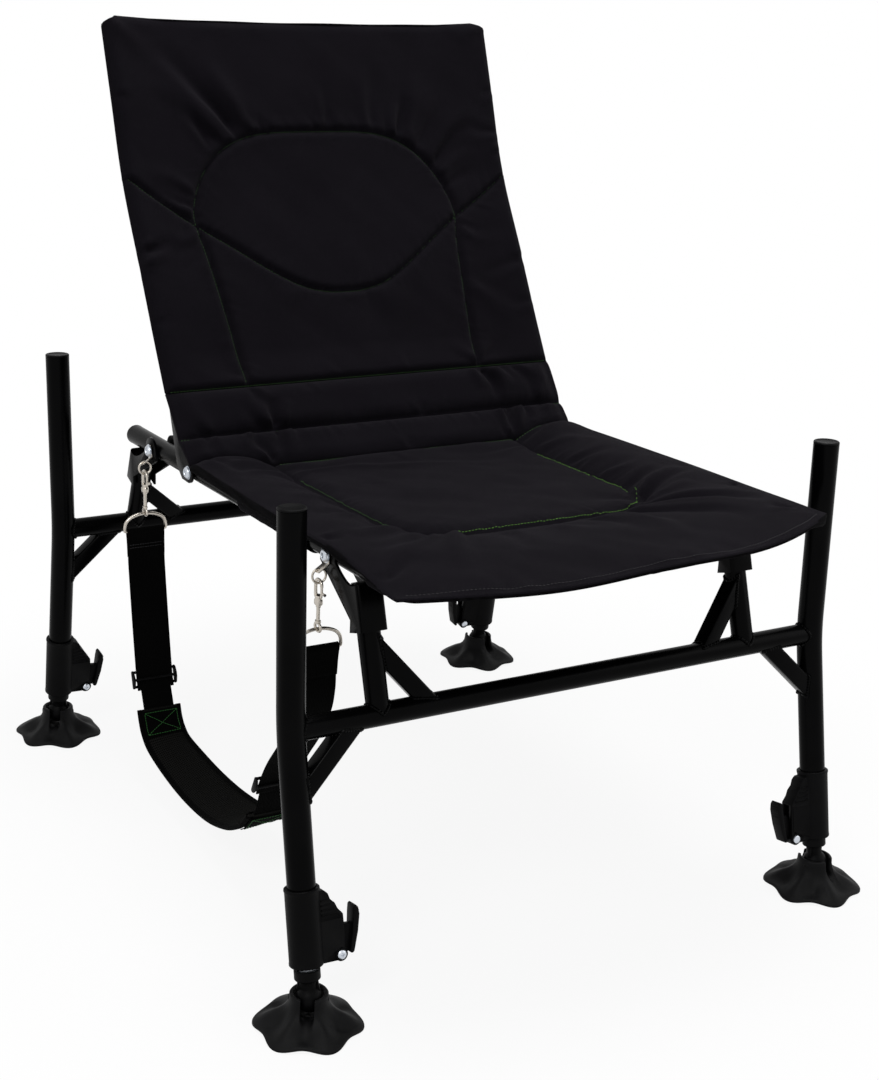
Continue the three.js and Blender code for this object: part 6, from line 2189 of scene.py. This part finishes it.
class CoverPieces:
    """Builds the cover: three filled parts, their threads, the hood's back and the rail sleeves."""

    def __init__(self, shop: Shop) -> None:
        """Keeps the shop and the fold between the rolls' two ends."""
        self.shop = shop
        self.seat_end, self.back_end = shop.point(0, 84, 156), shop.point(0, 142, 215)

    def bending(self, piece: Piece, name: str, finish: Finish, stands_for: Sequence[str] = ()) -> Piece:
        """Settles a piece that creases where the backrest folds onto the seat."""
        self.shop.settle(piece, name, None, finish, stands_for)
        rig.blend(piece, "seat", "backrest", self.seat_end, self.back_end)
        return piece

    def thread(self, part: Padding, name: str, body: str | None, extra: Sequence[Line] = ()) -> None:
        """Sews a part's seams, and other lines of its pattern."""
        lines = [line for seam, line in zip(part.seams, part.lines) if seam.thread]
        piece = part.sew([*lines, *extra])
        if body:
            self.shop.settle(piece, name, body, DARK_THREAD)
        else:
            self.bending(piece, name, DARK_THREAD)

    def filled(self) -> None:
        """Builds the backrest, the rolls and the seat with their threads."""
        back, rolls, seat = BackCover(), LumbarRolls(), SeatCover()
        cover = self.shop.settle(
            back.build(1.6), "backrest_cover_padded", "backrest", COVER, ["backrest_pad"]
        )
        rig.padded(cover, fill=0.45)
        roll = self.bending(rolls.build(1.2), "lumbar_rolls_padded", COVER, ["lumbar_roll"])
        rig.padded(roll, fill=0.6)
        pad = seat.build(1.4)
        # The side mesh also goes on the front hem's lip, as painted shade under the hem.
        meshed_and_shaded = [self.takes_mesh_and_shade(seat, face.center, face.normal.z) for face in pad.data.polygons]
        self.shop.settle(pad, "seat_cover_padded", "seat", COVER, ["seat_pad"])
        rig.padded(pad, fill=0.55)
        pad.data.materials.append(SIDE_MESH_AND_SHADE.material())
        pad.data.polygons.foreach_set("material_index", meshed_and_shaded)
        low = Line([(x, 0.8) for x in np.linspace(-rolls.HALF, rolls.HALF, 30)])
        self.thread(back, "backrest_seam_stitches", "backrest", [low])
        self.thread(rolls, "lumbar_seam_stitches", None)
        rear = Line([(x, float(seat.seam_y(x)) - 5) for x in np.linspace(-166, 266, 80)])
        panel = seat.lines[0].spots * (0.97, 0.97) - (0, 3)
        panel = panel[panel[:, 1] < 58]
        # The panel seam's front and right run takes the lime thread; its left run and the rear seam take the darker
        # green thread.
        lime, left_run = panel[panel[:, 0] > -112], panel[panel[:, 0] < -162]
        self.shop.settle(seat.sew([Line(lime)]), "seat_front_corner_stitches", "seat", LIME_THREAD)
        self.shop.settle(seat.sew([Line(left_run), rear]), "seat_seam_stitches", "seat", DARK_THREAD)
        share = np.linspace(-0.97, 0.97, 90)
        hem = Line(np.stack((share * (seat.HALF - 2), seat.front_y(share) + 9), -1))
        self.shop.settle(seat.sew([hem], 0.1), "seat_hem_stitches", "seat", HEM_THREAD)
        self.hood(back, cover)
        self.sleeves(pad)

    @staticmethod
    def takes_mesh_and_shade(seat: SeatCover, spot: Vector, upward: float) -> int:
        """1 for a face of the seat's cover that takes the black side mesh: its sides and its underside, and the front
        hem's lip, where the dark is painted shade.
        """
        side = abs(spot.x) > seat.HALF - 14 or spot.y < seat.front_y(spot.x / seat.HALF) + 7
        return int(upward < -0.1 or (side and upward < 0.4))

    def hood(self, back: BackCover, cover: Piece) -> None:
        """The hood's back, pulled tight behind the tube and over its top."""
        side = Line([
            (273.5, 0.8), (266, 14.5), (257.5, 28), (252.5, 34.4), (247.5, 39), (240.7, 41), (228, 41.4),
            (120, 42), (0, 42)
        ])
        across = np.concatenate((np.linspace(0, 80, 26), np.linspace(84, side.length, 36)))
        edge = side.at(across)
        edge = np.vstack((edge * (-1, 1), edge[-2::-1]))
        low = back.up(350) - back.rise.length
        top = Line([
            (-2.2, 1.5), (-1.4, 8), (-0.7, 18), (-0.9, 28), (-2.8, 36), (-8, 41), (-17, 42), (-40, 42)
        ], 5)
        tops = top.at(np.linspace(0, top.length, 30))
        ups = np.vstack((np.stack((np.linspace(low, -40, 62)[:-1], np.full(61, 42.0)), -1), tops[::-1]))
        up = np.clip(back.rise.length + ups[:, 0], 0, back.rise.length)
        beyond = back.rise.length + ups[:, 0] - up
        narrow = 19 * eased(up, back.up(back.TOP - 15), back.rise.length) ** 2
        x = edge[None, :, 0] * (1 - narrow / back.HALF)[:, None]
        spots = np.stack((x, np.broadcast_to(up[:, None], x.shape)), -1)
        places, out = back.base(spots)
        deep = 0.6 + (edge[None, :, 1] - 0.6) * (ups[:, 1] - 0.6)[:, None] / 41.4
        draw = np.random.default_rng(31)
        soft = (
            sum(np.sin(spots @ draw.uniform(-0.05, 0.05, 2) + draw.uniform(0, 6)) for _ in range(8)) * 0.5
            * eased(225 - np.abs(x), 0, 90)
        )
        soft = soft - 5 * np.exp(-((np.abs(x) - 150) / 70) ** 2) * eased(-ups[:, 0], 20, 120)[:, None] * 0.4
        grid = places + self.above(out) * beyond[:, None, None] - out * (deep - soft)[..., None]
        flat = np.stack((x, np.broadcast_to(ups[:, :1], x.shape)), -1)
        hood = self.shop.settle(Cloth.sheet(grid, flat, 1.3), "backrest_hood_back", "backrest", EDGING)
        tube = bpy.data.objects["backrest_tube_bent"]
        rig.sheet(hood, **Cloth.cut(grid), held="stretched", rests_on=[tube], with_pieces=[cover])
        hem = Line(grid[5, 6:-6])
        places = hem.at(np.arange(4, hem.length - 4, Stitching.PITCH))
        ways = hem.at(np.arange(5, hem.length - 3, Stitching.PITCH))[: len(places)] - places
        behind = np.tile((0.0, 0.85, -0.5), (len(places), 1))
        self.shop.settle(
            Stitching.lay(places + behind, ways, behind), "hood_hem_stitches", "backrest", HEM_THREAD
        )

    @staticmethod
    def above(out: Array) -> Array:
        """The way up a face, from the way out of it."""
        return np.stack((0 * out[..., 0], out[..., 2], -out[..., 1]), -1)

    def sleeves(self, pad: Piece) -> None:
        """The cover's sleeves: one round each rail and a pocket round the bowed front."""
        rails = bpy.data.objects["seat_rail_bowed"]
        rail = SeatRails()
        route = Line(rail.route())
        section = Line([
            (-13.6, 13.5), (-14.6, 5), (-14.4, -3), (-11, -10), (-4, -14.2), (4, -14.2), (11, -10),
            (14.4, -3), (14.6, 5), (13.6, 13.5)
        ], 4)
        outline = section.at(np.linspace(0, section.length, 34))
        start, stop = rail.rear, route.length - rail.rear
        ends = {"left_sleeve": (start + 20, start + 200), "right_sleeve": (stop - 200, stop - 20),
                "front_pocket": (start + 335, stop - 335)}
        for name, (first, last) in ends.items():
            places = np.linspace(first, last, max(20, round((last - first) / 5)))
            middle = route.at(places)
            ahead = route.at(places + 4) - route.at(places - 4)
            ahead /= np.linalg.norm(ahead, axis=1, keepdims=True)
            aside = np.cross(ahead, (0.0, 0.0, 1.0))
            aside /= np.linalg.norm(aside, axis=1, keepdims=True)
            draw = np.random.default_rng(len(name))
            ripple = (
                Ripple(draw, (24, 37, 61))(places)[:, None] * np.sin(np.linspace(0, math.pi, 34))[None] * 0.9
            )
            fuller = 1 + 0.04 * ripple
            grid = middle[:, None] + aside[:, None] * (outline[:, 0] * fuller)[..., None]
            grid = grid + np.array((0, 0, 1.0)) * (outline[:, 1] * fuller - 0.6 * np.abs(ripple))[..., None]
            flat = np.stack(
                np.broadcast_arrays(np.linspace(0, section.length, 34)[None], places[:, None]), -1
            )
            sleeve = self.shop.settle(Cloth.sheet(grid, flat, 1.2), f"seat_cover_{name}", "seat", EDGING)
            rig.sheet(sleeve, **Cloth.cut(grid), held="stretched", rests_on=[rails], with_pieces=[pad])


class CarryingStrap:
    """The strap on the chair's left side: tabs, rings, snap hooks, webbing, slides and shoulder pad."""

    REAR = ((240, -22), (229, -90), (219, -146), (213.5, -172), (206, -192), (198.7, -208.8), (194, -220))
    PAD = (
        (198.7, -208.8), (193, -223), (183, -236), (162, -247), (110, -254), (50, -257), (-16, -253),
        (-78, -240), (-120, -223.5), (-134, -213), (-146, -200)
    )
    FRONT = (
        (-139, -208), (-146, -200), (-156, -178), (-166, -153), (-187, -118), (-219, -78), (-243, -38),
        (-251, -10)
    )
    WIDE, LOW, THICK = 24.8, 20.5, 2.0

    def __init__(self, shop: Shop) -> None:
        """Keeps the shop."""
        self.shop = shop

    def metal(self, legs: Legs) -> None:
        """The tab, the small ring, the snap hook and the large ring at one end."""
        centre, pivot, bar = Chair.ring_centre(legs), Chair.pivot(legs), Chair.ring_bar(legs)
        word = legs.name
        face = Chair.RAIL_X + 16.3
        reach = -Chair.STRAP_X - face + 3.4
        knee, half = -9.6, 6.2
        strip = [
            (-face, half), (-face, knee), (-face - reach, knee - reach * 0.6),
            (-face - reach - 1.6, knee - reach * 0.6 + 0.9), (-face - 1.6, knee + 1.0), (-face - 1.6, half)
        ]
        tab = Bench.plate([Vector((x, -half, z)) for x, z in strip], Vector((0, 2 * half, 0)), 0.35)
        turn = Matrix.Translation(pivot) @ Matrix.Rotation(-math.radians(legs.tab_lean), 4, "X")
        self.shop.settle(
            Bench.place(tab, turn), f"strap_tab_{word}_bent", "seat", NICKEL, [f"strap_tab_{word}"]
        )
        axis = (Chair.ring_centre(REAR) - Chair.ring_centre(FRONT)).normalized()
        ring = Bench.tube([centre + p for p in Bench.round_outline(axis, 8, 40)], 1.3, 12, True)
        self.shop.settle(ring, f"strap_ring_{word}_wire", "strap", NICKEL, [f"strap_ring_{word}"])
        x, y = Chair.STRAP_X, centre.y
        eye_z = bar.z + 22
        self.shop.settle(
            self.hook(Vector((x, y, 0)), centre.z - 4.5, eye_z), f"snap_hook_{word}_trigger", "strap", NICKEL,
            [f"snap_hook_{word}"]
        )
        w = 27.6
        arch = Line([
            (-w, 0), (-w, 6), (-w * 0.93, 12), (-w * 0.72, 17.4), (-w * 0.36, 21), (0, 22), (w * 0.36, 21),
            (w * 0.72, 17.4), (w * 0.93, 12), (w, 6), (w, 0), (w * 0.9, -0.6), (0, -0.6), (-w * 0.9, -0.6)
        ], 5).at(np.linspace(0, 168, 96))
        points = [Vector((x + a, y, bar.z + b)) for a, b in arch]
        wire = Bench.tube(points[:-1], 2, 14, True)
        self.shop.settle(wire, f"strap_large_ring_{word}_wire", "strap", NICKEL, [f"strap_dring_{word}"])

    @staticmethod
    def hook(origin: Vector, top: float, eye_z: float) -> Piece:
        """A trigger snap hook: hooked body with a sprung bolt, a thumb stud and a swivel eye."""

        def at(y: float, z: float, x: float = 0) -> Vector:
            """A point of the hook."""
            return origin + Vector((x, y, z))

        low = top - 20
        claw = Line([
            (1.2, low - 1), (3.8, low + 0.5), (4.9, low + 4), (5.1, top - 8), (4.6, top - 3.4),
            (2.6, top - 0.6), (0, top + 0.1), (-2.6, top - 0.7), (-4.4, top - 3), (-4.9, top - 6.2)
        ], 5).spots
        swell = [1.35 - 0.35 * min(1.0, k / 12) for k in range(len(claw))]
        parts = [Bench.tube([at(a, b) for a, b in claw], 1.7, 14, False, swell)]
        parts.append(
            Bench.tube([
                at(-4.9, top - 6.0), at(-4.9, low + 6), at(-4.4, low + 2.6), at(-1.8, low + 0.2)
            ], 1.35, 12)
        )
        parts.append(
            Bench.tube([
                at(-4.9, low + 7.2), at(-9.6, low + 7.2), at(-10.4, low + 7.2)
            ], 1.3, 12, False, [1, 1, 1.35])
        )
        body = Bench.lathe([
            (0, -9.5), (2.4, -9.5), (2.6, -8.6), (2.6, -7), (3.9, -6.4), (4.3, -5.4), (4.3, -1.4),
            (3.7, -0.4), (3.4, 1.6), (3.8, 2.4), (3.4, 4), (0, 4.4)
        ], 28, 35)
        parts.append(Bench.place(body, Matrix.Translation(at(0, low - 1))))
        stem = low - 10.5
        eye = [
            at(0, eye_z + 2.2, 0) + Vector((0, 4.6 * math.sin(t), 4.6 * math.cos(t) - 0.2))
            for t in (2 * math.pi * k / 28 for k in range(28))
        ]
        parts.append(Bench.tube(eye, 1.5, 12, True))
        parts.append(Bench.lathe([(0, 0), (2.6, 0.2), (3.2, 1.6), (2.8, 3.4), (0, 3.8)], 20, 40))
        Bench.place(parts[-1], Matrix.Translation(at(0, eye_z + 6.2)))
        parts.append(Bench.tube([at(0, eye_z + 8), at(0, stem + 2)], 1.9, 12))
        wider = Matrix.Translation(origin) @ Matrix.Diagonal((1, 1.4, 1, 1)) @ Matrix.Translation(-origin)
        return Bench.place(Bench.join(*parts), wider)

    def slide(self, place: Pair, way: Pair, word: str) -> None:
        """A three-bar slide: two bars before the webbing and one behind it, between its end cheeks."""
        bars = []
        for along, off in ((-9.6, 2.6), (0, -2.8), (9.6, 2.6)):
            bars.append(Bench.tube([Vector((-28.5, along, off)), Vector((28.5, along, off))], 1.9, 14))
        for end in (-1, 1):
            cheek = [
                Vector((end * 27.4, y, z))
                for y, z in (
                    (-12, 3.4), (-12, 1.2), (-10.4, -1.6), (-3, -4.6), (3, -4.6), (10.4, -1.6), (12, 1.2),
                    (12, 3.4), (10.6, 4.8), (-10.6, 4.8)
                )
            ]
            bars.append(Bench.plate(cheek, Vector((end * 2.6, 0, 0)), 0.8))
        piece = Bench.join(*bars)
        spot, turn = Matrix.Translation((Chair.STRAP_X, *place)), math.atan2(way[1], way[0])
        piece = Bench.place(piece, spot @ Matrix.Rotation(turn, 4, "X"))
        self.shop.settle(piece, f"strap_slide_{word}_three_bar", "strap", PLASTIC, [f"strap_slide_{word}"])

    def looped(self, legs: Legs, line: Sequence[Pair]) -> Line:
        """A webbing's middle: its tail, the turn round a large ring's bar and its way down."""
        bar = Chair.ring_bar(legs)
        back = legs.side
        lead = np.array(line[0]) - (bar.y, bar.z)
        lead = lead / np.linalg.norm(lead)
        tail = [
            (bar.y + back * 1.6 + lead[0] * 34, bar.z + lead[1] * 34),
            (bar.y + back * 2.0 + lead[0] * 14, bar.z + lead[1] * 14)
        ]
        turns = [
            (bar.y + back * 3.6 * math.cos(t), bar.z - 0.6 + 3.6 * math.sin(t))
            for t in np.linspace(-0.4, math.pi + 0.4, 9)
        ]
        down = [
            (bar.y - back * 1.9 + lead[0] * 14, bar.z + lead[1] * 14),
            (bar.y - back * 0.8 + lead[0] * 32, bar.z + lead[1] * 32)
        ]
        return Line([*tail, *turns, *down, *line], 6)

    @staticmethod
    def sew_across(line: Line, places: Sequence[float], half: float, off: float) -> Rows:
        """Rows of stitches across a band, at places along it, on one face."""
        rows = []
        for place in places:
            (y, z), (y1, z1) = line.at(np.array([place, place + 1.0]))
            way = np.array((0, y1 - y, z1 - z)) / math.hypot(y1 - y, z1 - z)
            up = np.cross((1.0, 0, 0), way)
            x = np.arange(-half, half, 3.4)
            spots = np.stack((Chair.STRAP_X + x, np.full(len(x), y), np.full(len(x), z)), -1) + up * off
            rows.append((spots, np.tile((1.0, 0, 0), (len(x), 1)), np.tile(up * np.sign(off), (len(x), 1))))
        return rows

    @staticmethod
    def box_stitches(grid: Callable[..., Array], long: float, half: float) -> Rows:
        """A stitched box with its cross, on both faces of the pad's end."""

        def points(start: Pair, end: Pair, shares: Array, face: int) -> Array:
            """Points of a straight line on one face, or between both at 0."""
            spots = [(mixed(start[0], end[0], s), mixed(start[1], end[1], s)) for s in shares]
            return np.array([grid(x, along, face) for x, along in spots])

        corners = [(-half, 3), (half, 3), (half, long - 3), (-half, long - 3)]
        lines = [*zip(corners, corners[1:] + corners[:1]), (corners[0], corners[2]), (corners[1], corners[3])]
        rows = []
        for start, end in lines:
            length = math.dist(start, end)
            shares = np.arange(1.5, length - 1, 3.4) / length
            for face in (-1, 1):
                spots, ahead = points(start, end, shares, face), points(start, end, shares + 0.01, face)
                rows.append((spots, ahead - spots, spots - points(start, end, shares, 0)))
        return rows

    def build(self) -> None:
        """Builds the whole strap."""
        for legs in (FRONT, REAR):
            self.metal(legs)
        selvedge = np.array([-1, -0.985, -0.94, -0.9, -0.5, 0, 0.5, 0.9, 0.94, 0.985, 1])
        thick = self.THICK * np.array([0.7, 1.0, 1.1, 0.92, 0.95, 1.0, 0.95, 0.92, 1.1, 1.0, 0.7])
        ends = {"rear": (REAR, list(self.REAR), 3), "front": (FRONT, list(self.FRONT[::-1]), 4)}
        rings = {}
        for word, (legs, line, at) in ends.items():
            whole = self.looped(legs, line)
            split = whole.places[np.argmin(np.linalg.norm(whole.spots - line[at], axis=1))]
            upper = Line(whole.at(np.arange(0, split + 16, 2.0)))
            lower = Line(whole.at(np.arange(split - 14, whole.length, 2.0)))
            cuts = [Cloth.band_grid(upper, self.WIDE, selvedge), Cloth.band_grid(lower, self.LOW, selvedge)]
            wide, narrow = (Cloth.sheet(*cut, thick[None]) for cut in cuts)
            piece = self.shop.settle(
                Bench.join(wide, narrow), f"strap_webbing_{word}_woven", "strap", WEBBING,
                [f"strap_webbing_{word}"]
            )
            rings[word] = bpy.data.objects[f"strap_large_ring_{word}_wire"]
            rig.sheet(piece, **Cloth.cut(*(cut[0] for cut in cuts)), held="hung", rests_on=[rings[word]])
            near, far = whole.at(np.array([split, split + 1.0]))
            self.slide(tuple(near), tuple(far - near), word)
            rows = [
                row for off in (-1.6, 1.6)
                for row in self.sew_across(whole, (62, 66), self.WIDE - 3, off * 1.2)
            ]
            self.shop.settle(
                Stitching.lay(*(np.vstack(r) for r in zip(*rows))), f"strap_fold_stitches_{word}", "strap",
                HEM_THREAD
            )
        self.pad(selvedge, thick)

    def pad(self, selvedge: Array, thick: Array) -> None:
        """The shoulder pad with its bound edges, and the sewn patches at its ends."""
        middle = Line(self.PAD, 8)

        def roll(share: Array) -> Array:
            """How far the pad leans out."""
            return 0.5 * np.sin(np.pi * np.clip((share - 0.04) / 0.92, 0, 1)) ** 1.2

        half = 28.5
        shares = np.array([-1, -0.97, -0.9, -0.84, -0.8, -0.7, -0.45, 0, 0.45, 0.7, 0.8, 0.84, 0.9, 0.97, 1])
        deep = np.array([2.5, 3.8, 4.2, 3.6, 3.8, 5.6, 6.8, 7.2, 6.8, 5.6, 3.8, 3.6, 4.2, 3.8, 2.5])
        pad = self.shop.settle(
            Cloth.sheet(*Cloth.band_grid(middle, half, shares, roll), deep[None]), "strap_shoulder_pad",
            "strap", PAD_MESH, ["strap_pad"]
        )
        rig.padded(pad, fill=0.7)
        binding, cuts = [], []
        for side in (-1, 1):
            shape = np.array([
                (0.84, 2.4), (0.93, 2.9), (0.99, 2.7), (1.03, 1.5), (1.045, 0), (1.03, -1.5), (0.99, -2.7),
                (0.93, -2.9), (0.84, -2.4)
            ])
            grid, flat = Cloth.band_grid(middle, half, side * shape[:, 0], roll)
            across = Cloth.band_grid(middle, half, np.array([-1.0, 0, 1.0]), roll)[0]
            grid = grid + Cloth.normals(across)[:, 1:2] * shape[None, :, 1:]
            cuts.append(grid)
            binding.append(Cloth.sheet(grid, flat, 0.7))
        edges = self.shop.settle(Bench.join(*binding), "strap_pad_binding", "strap", WEBBING)
        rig.sheet(edges, **Cloth.cut(*cuts), held="stretched", rests_on=[pad])
        rows, patches, cuts = [], [], []
        for first in (2.0, middle.length - 40.0):
            part = Line(middle.at(np.linspace(first, first + 38, 14)))
            for face in (-1, 1):
                grid, flat = Cloth.band_grid(
                    part, 25, np.linspace(-1, 1, 9), lambda share: roll((first + 38 * share) / middle.length)
                )
                grid = grid + Cloth.normals(grid) * face * 4.3
                patches.append(Cloth.sheet(grid, flat, 1.2))
                cuts.append(grid)

            def spot(x: float, along: float, face: int, first: float = first) -> Array:
                """A point of the patch, by its place across and along and its face."""
                lean = float(roll(np.array((first + along) / middle.length)))
                (y, z), (y1, z1) = middle.at(np.array([first + along, first + along + 1]))
                step = np.array((0, y1 - y, z1 - z)) / math.hypot(y1 - y, z1 - z)
                across = np.array((math.cos(lean), step[2] * math.sin(lean), -step[1] * math.sin(lean)))
                return np.array((Chair.STRAP_X, y, z)) + across * x + np.cross(step, across) * face * 5.2

            rows += self.box_stitches(spot, 38, 22)
        sewn = self.shop.settle(Bench.join(*patches), "strap_pad_end_patches", "strap", WEBBING)
        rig.sheet(sewn, **Cloth.cut(*cuts), held="laid", rests_on=[pad])
        self.shop.settle(
            Stitching.lay(*(np.vstack(r) for r in zip(*rows))), "strap_patch_stitches", "strap", PATCH_THREAD
        )


# The photographer's set


@dataclass
class Studio:
    """The camera at the photograph's angle, soft lamps, a pale world and a pale floor."""

    camera_at: Place = (-1.07038, -1.81863, 1.07381)
    right: Place = (0.86527473, -0.49913701, 0.04649613)
    up: Place = (0.12036201, 0.29689585, 0.94729396)
    lens: float = 59.989
    key: float = 27
    fill: float = 12
    top: float = 40
    ambient: float = 0.34

    def camera(self) -> None:
        """Sets the camera."""
        Bench.clear()
        bpy.ops.object.camera_add(location=self.camera_at)
        camera = bpy.context.object
        right, up = Vector(self.right).normalized(), Vector(self.up)
        up = (up - right * up.dot(right)).normalized()
        camera.rotation_euler = Matrix((right, up, right.cross(up))).transposed().to_euler()
        camera.data.lens = self.lens
        camera.data.sensor_width = 36
        camera.data.clip_end = 200
        bpy.context.scene.camera = camera

    def lamp(self, name: str, at: Place, aim: Place, size: float, watts: float) -> None:
        """Adds one soft lamp that faces a point."""
        Bench.clear()
        bpy.ops.object.light_add(type="AREA", location=at)
        lamp = bpy.context.object
        lamp.name = name
        lamp.rotation_euler = (Vector(at) - Vector(aim)).to_track_quat("Z", "Y").to_euler()
        lamp.data.shape = "RECTANGLE"
        lamp.data.size = lamp.data.size_y = size
        lamp.data.energy = watts

    def seen(self, tree: Tree) -> Signal:
        """1 on rays from the camera and on mirrored or refracted ones, and 0 on others."""
        path = tree.node("ShaderNodeLightPath", out="Is Camera Ray")
        others = [
            Signal(tree, path.socket.node.outputs[name]) for name in ("Is Glossy Ray", "Is Transmission Ray")
        ]
        total = tree.node("ShaderNodeMath", {"operation": "ADD", "use_clamp": True}, {0: path, 1: others[0]})
        return tree.node("ShaderNodeMath", {"operation": "ADD", "use_clamp": True}, {0: total, 1: others[1]})

    def world(self) -> None:
        """A world that is white to the camera and in reflections, and gives a low even light."""
        world = bpy.data.worlds.new("studio_world")
        bpy.context.scene.world = world
        world.use_nodes = True
        tree = Tree.of_world(world)
        back = next(n for n in tree.nodes if n.type == "BACKGROUND")
        tree.feed(back.inputs["Color"], (1.0, 1.0, 1.0))
        tree.feed(back.inputs["Strength"], self.seen(tree) * (1 - self.ambient) + self.ambient)

    def floor(self) -> None:
        """A pale floor that keeps the chair's shadow and fades into the white behind it."""
        Bench.clear()
        bpy.ops.mesh.primitive_plane_add(size=80)
        floor = bpy.context.object
        floor.name = "studio_floor"
        tree = Tree("studio_floor_paint")
        spot = tree.node("ShaderNodeSeparateXYZ", {}, {"Vector": tree.place()})
        y = Signal(tree, spot.socket.node.outputs["Y"])
        away = (spot * spot + y * y) ** 0.5
        white = tree.node("ShaderNodeEmission", {}, {"Color": (1.0, 1.0, 1.0), "Strength": 1.0})
        grain = tree.noise(60, 3)
        tree.surface(
            base_color=tree.tint(grain, (0.78, 0.78, 0.78), (0.84, 0.84, 0.84)), roughness=0.9,
            specular_ior_level=0.0
        )
        share = away.step(0.45, 1.0) * 0.1 + 0.9
        out = next(n for n in tree.nodes if n.type == "OUTPUT_MATERIAL")
        plain = Signal(tree, tree.shader.outputs[0])
        mix = tree.node("ShaderNodeMixShader", {}, {0: self.seen(tree) * share, 1: plain, 2: white})
        tree.feed(out.inputs["Surface"], mix)
        floor.data.materials.append(tree.material)
        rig.stage(floor)

    def build(self) -> None:
        """Sets the whole studio."""
        self.camera()
        bpy.context.scene.view_settings.view_transform = "Standard"
        self.lamp("key_softbox", (-1.7, -1.5, 2.3), (0, 0, 0.45), 0.9, self.key)
        self.lamp("fill_softbox", (2.3, -1.4, 1.5), (0, 0, 0.4), 1.8, self.fill)
        self.lamp("top_softbox", (0.1, -0.1, 2.6), (0, -0.05, 0.4), 1.1, self.top)
        self.world()
        self.floor()


def main() -> None:
    """Builds the set and the chair, piece by piece, and writes both boxes to extents.json."""
    logging.basicConfig(level=logging.INFO, format="%(name)s: %(message)s")
    Studio().build()
    shop = Shop()
    for legs in (FRONT, REAR):
        LegFrame(legs).build(shop)
        for side in SIDES:
            LegClamp().build(legs, side, shop)
    MudFoot().build(shop)
    SeatRails().build(shop)
    Backrest().build(shop)
    PivotBolts().build(shop)
    CoverPieces(shop).filled()
    CarryingStrap(shop).build()
    Bench.clear()
    with open("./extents.json", "w", encoding="utf-8") as file:
        json.dump({"cad": CAD_BOUNDS, "visual": [list(map(float, corner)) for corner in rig.bounds()]}, file)


if __name__ == "__main__":
    main()
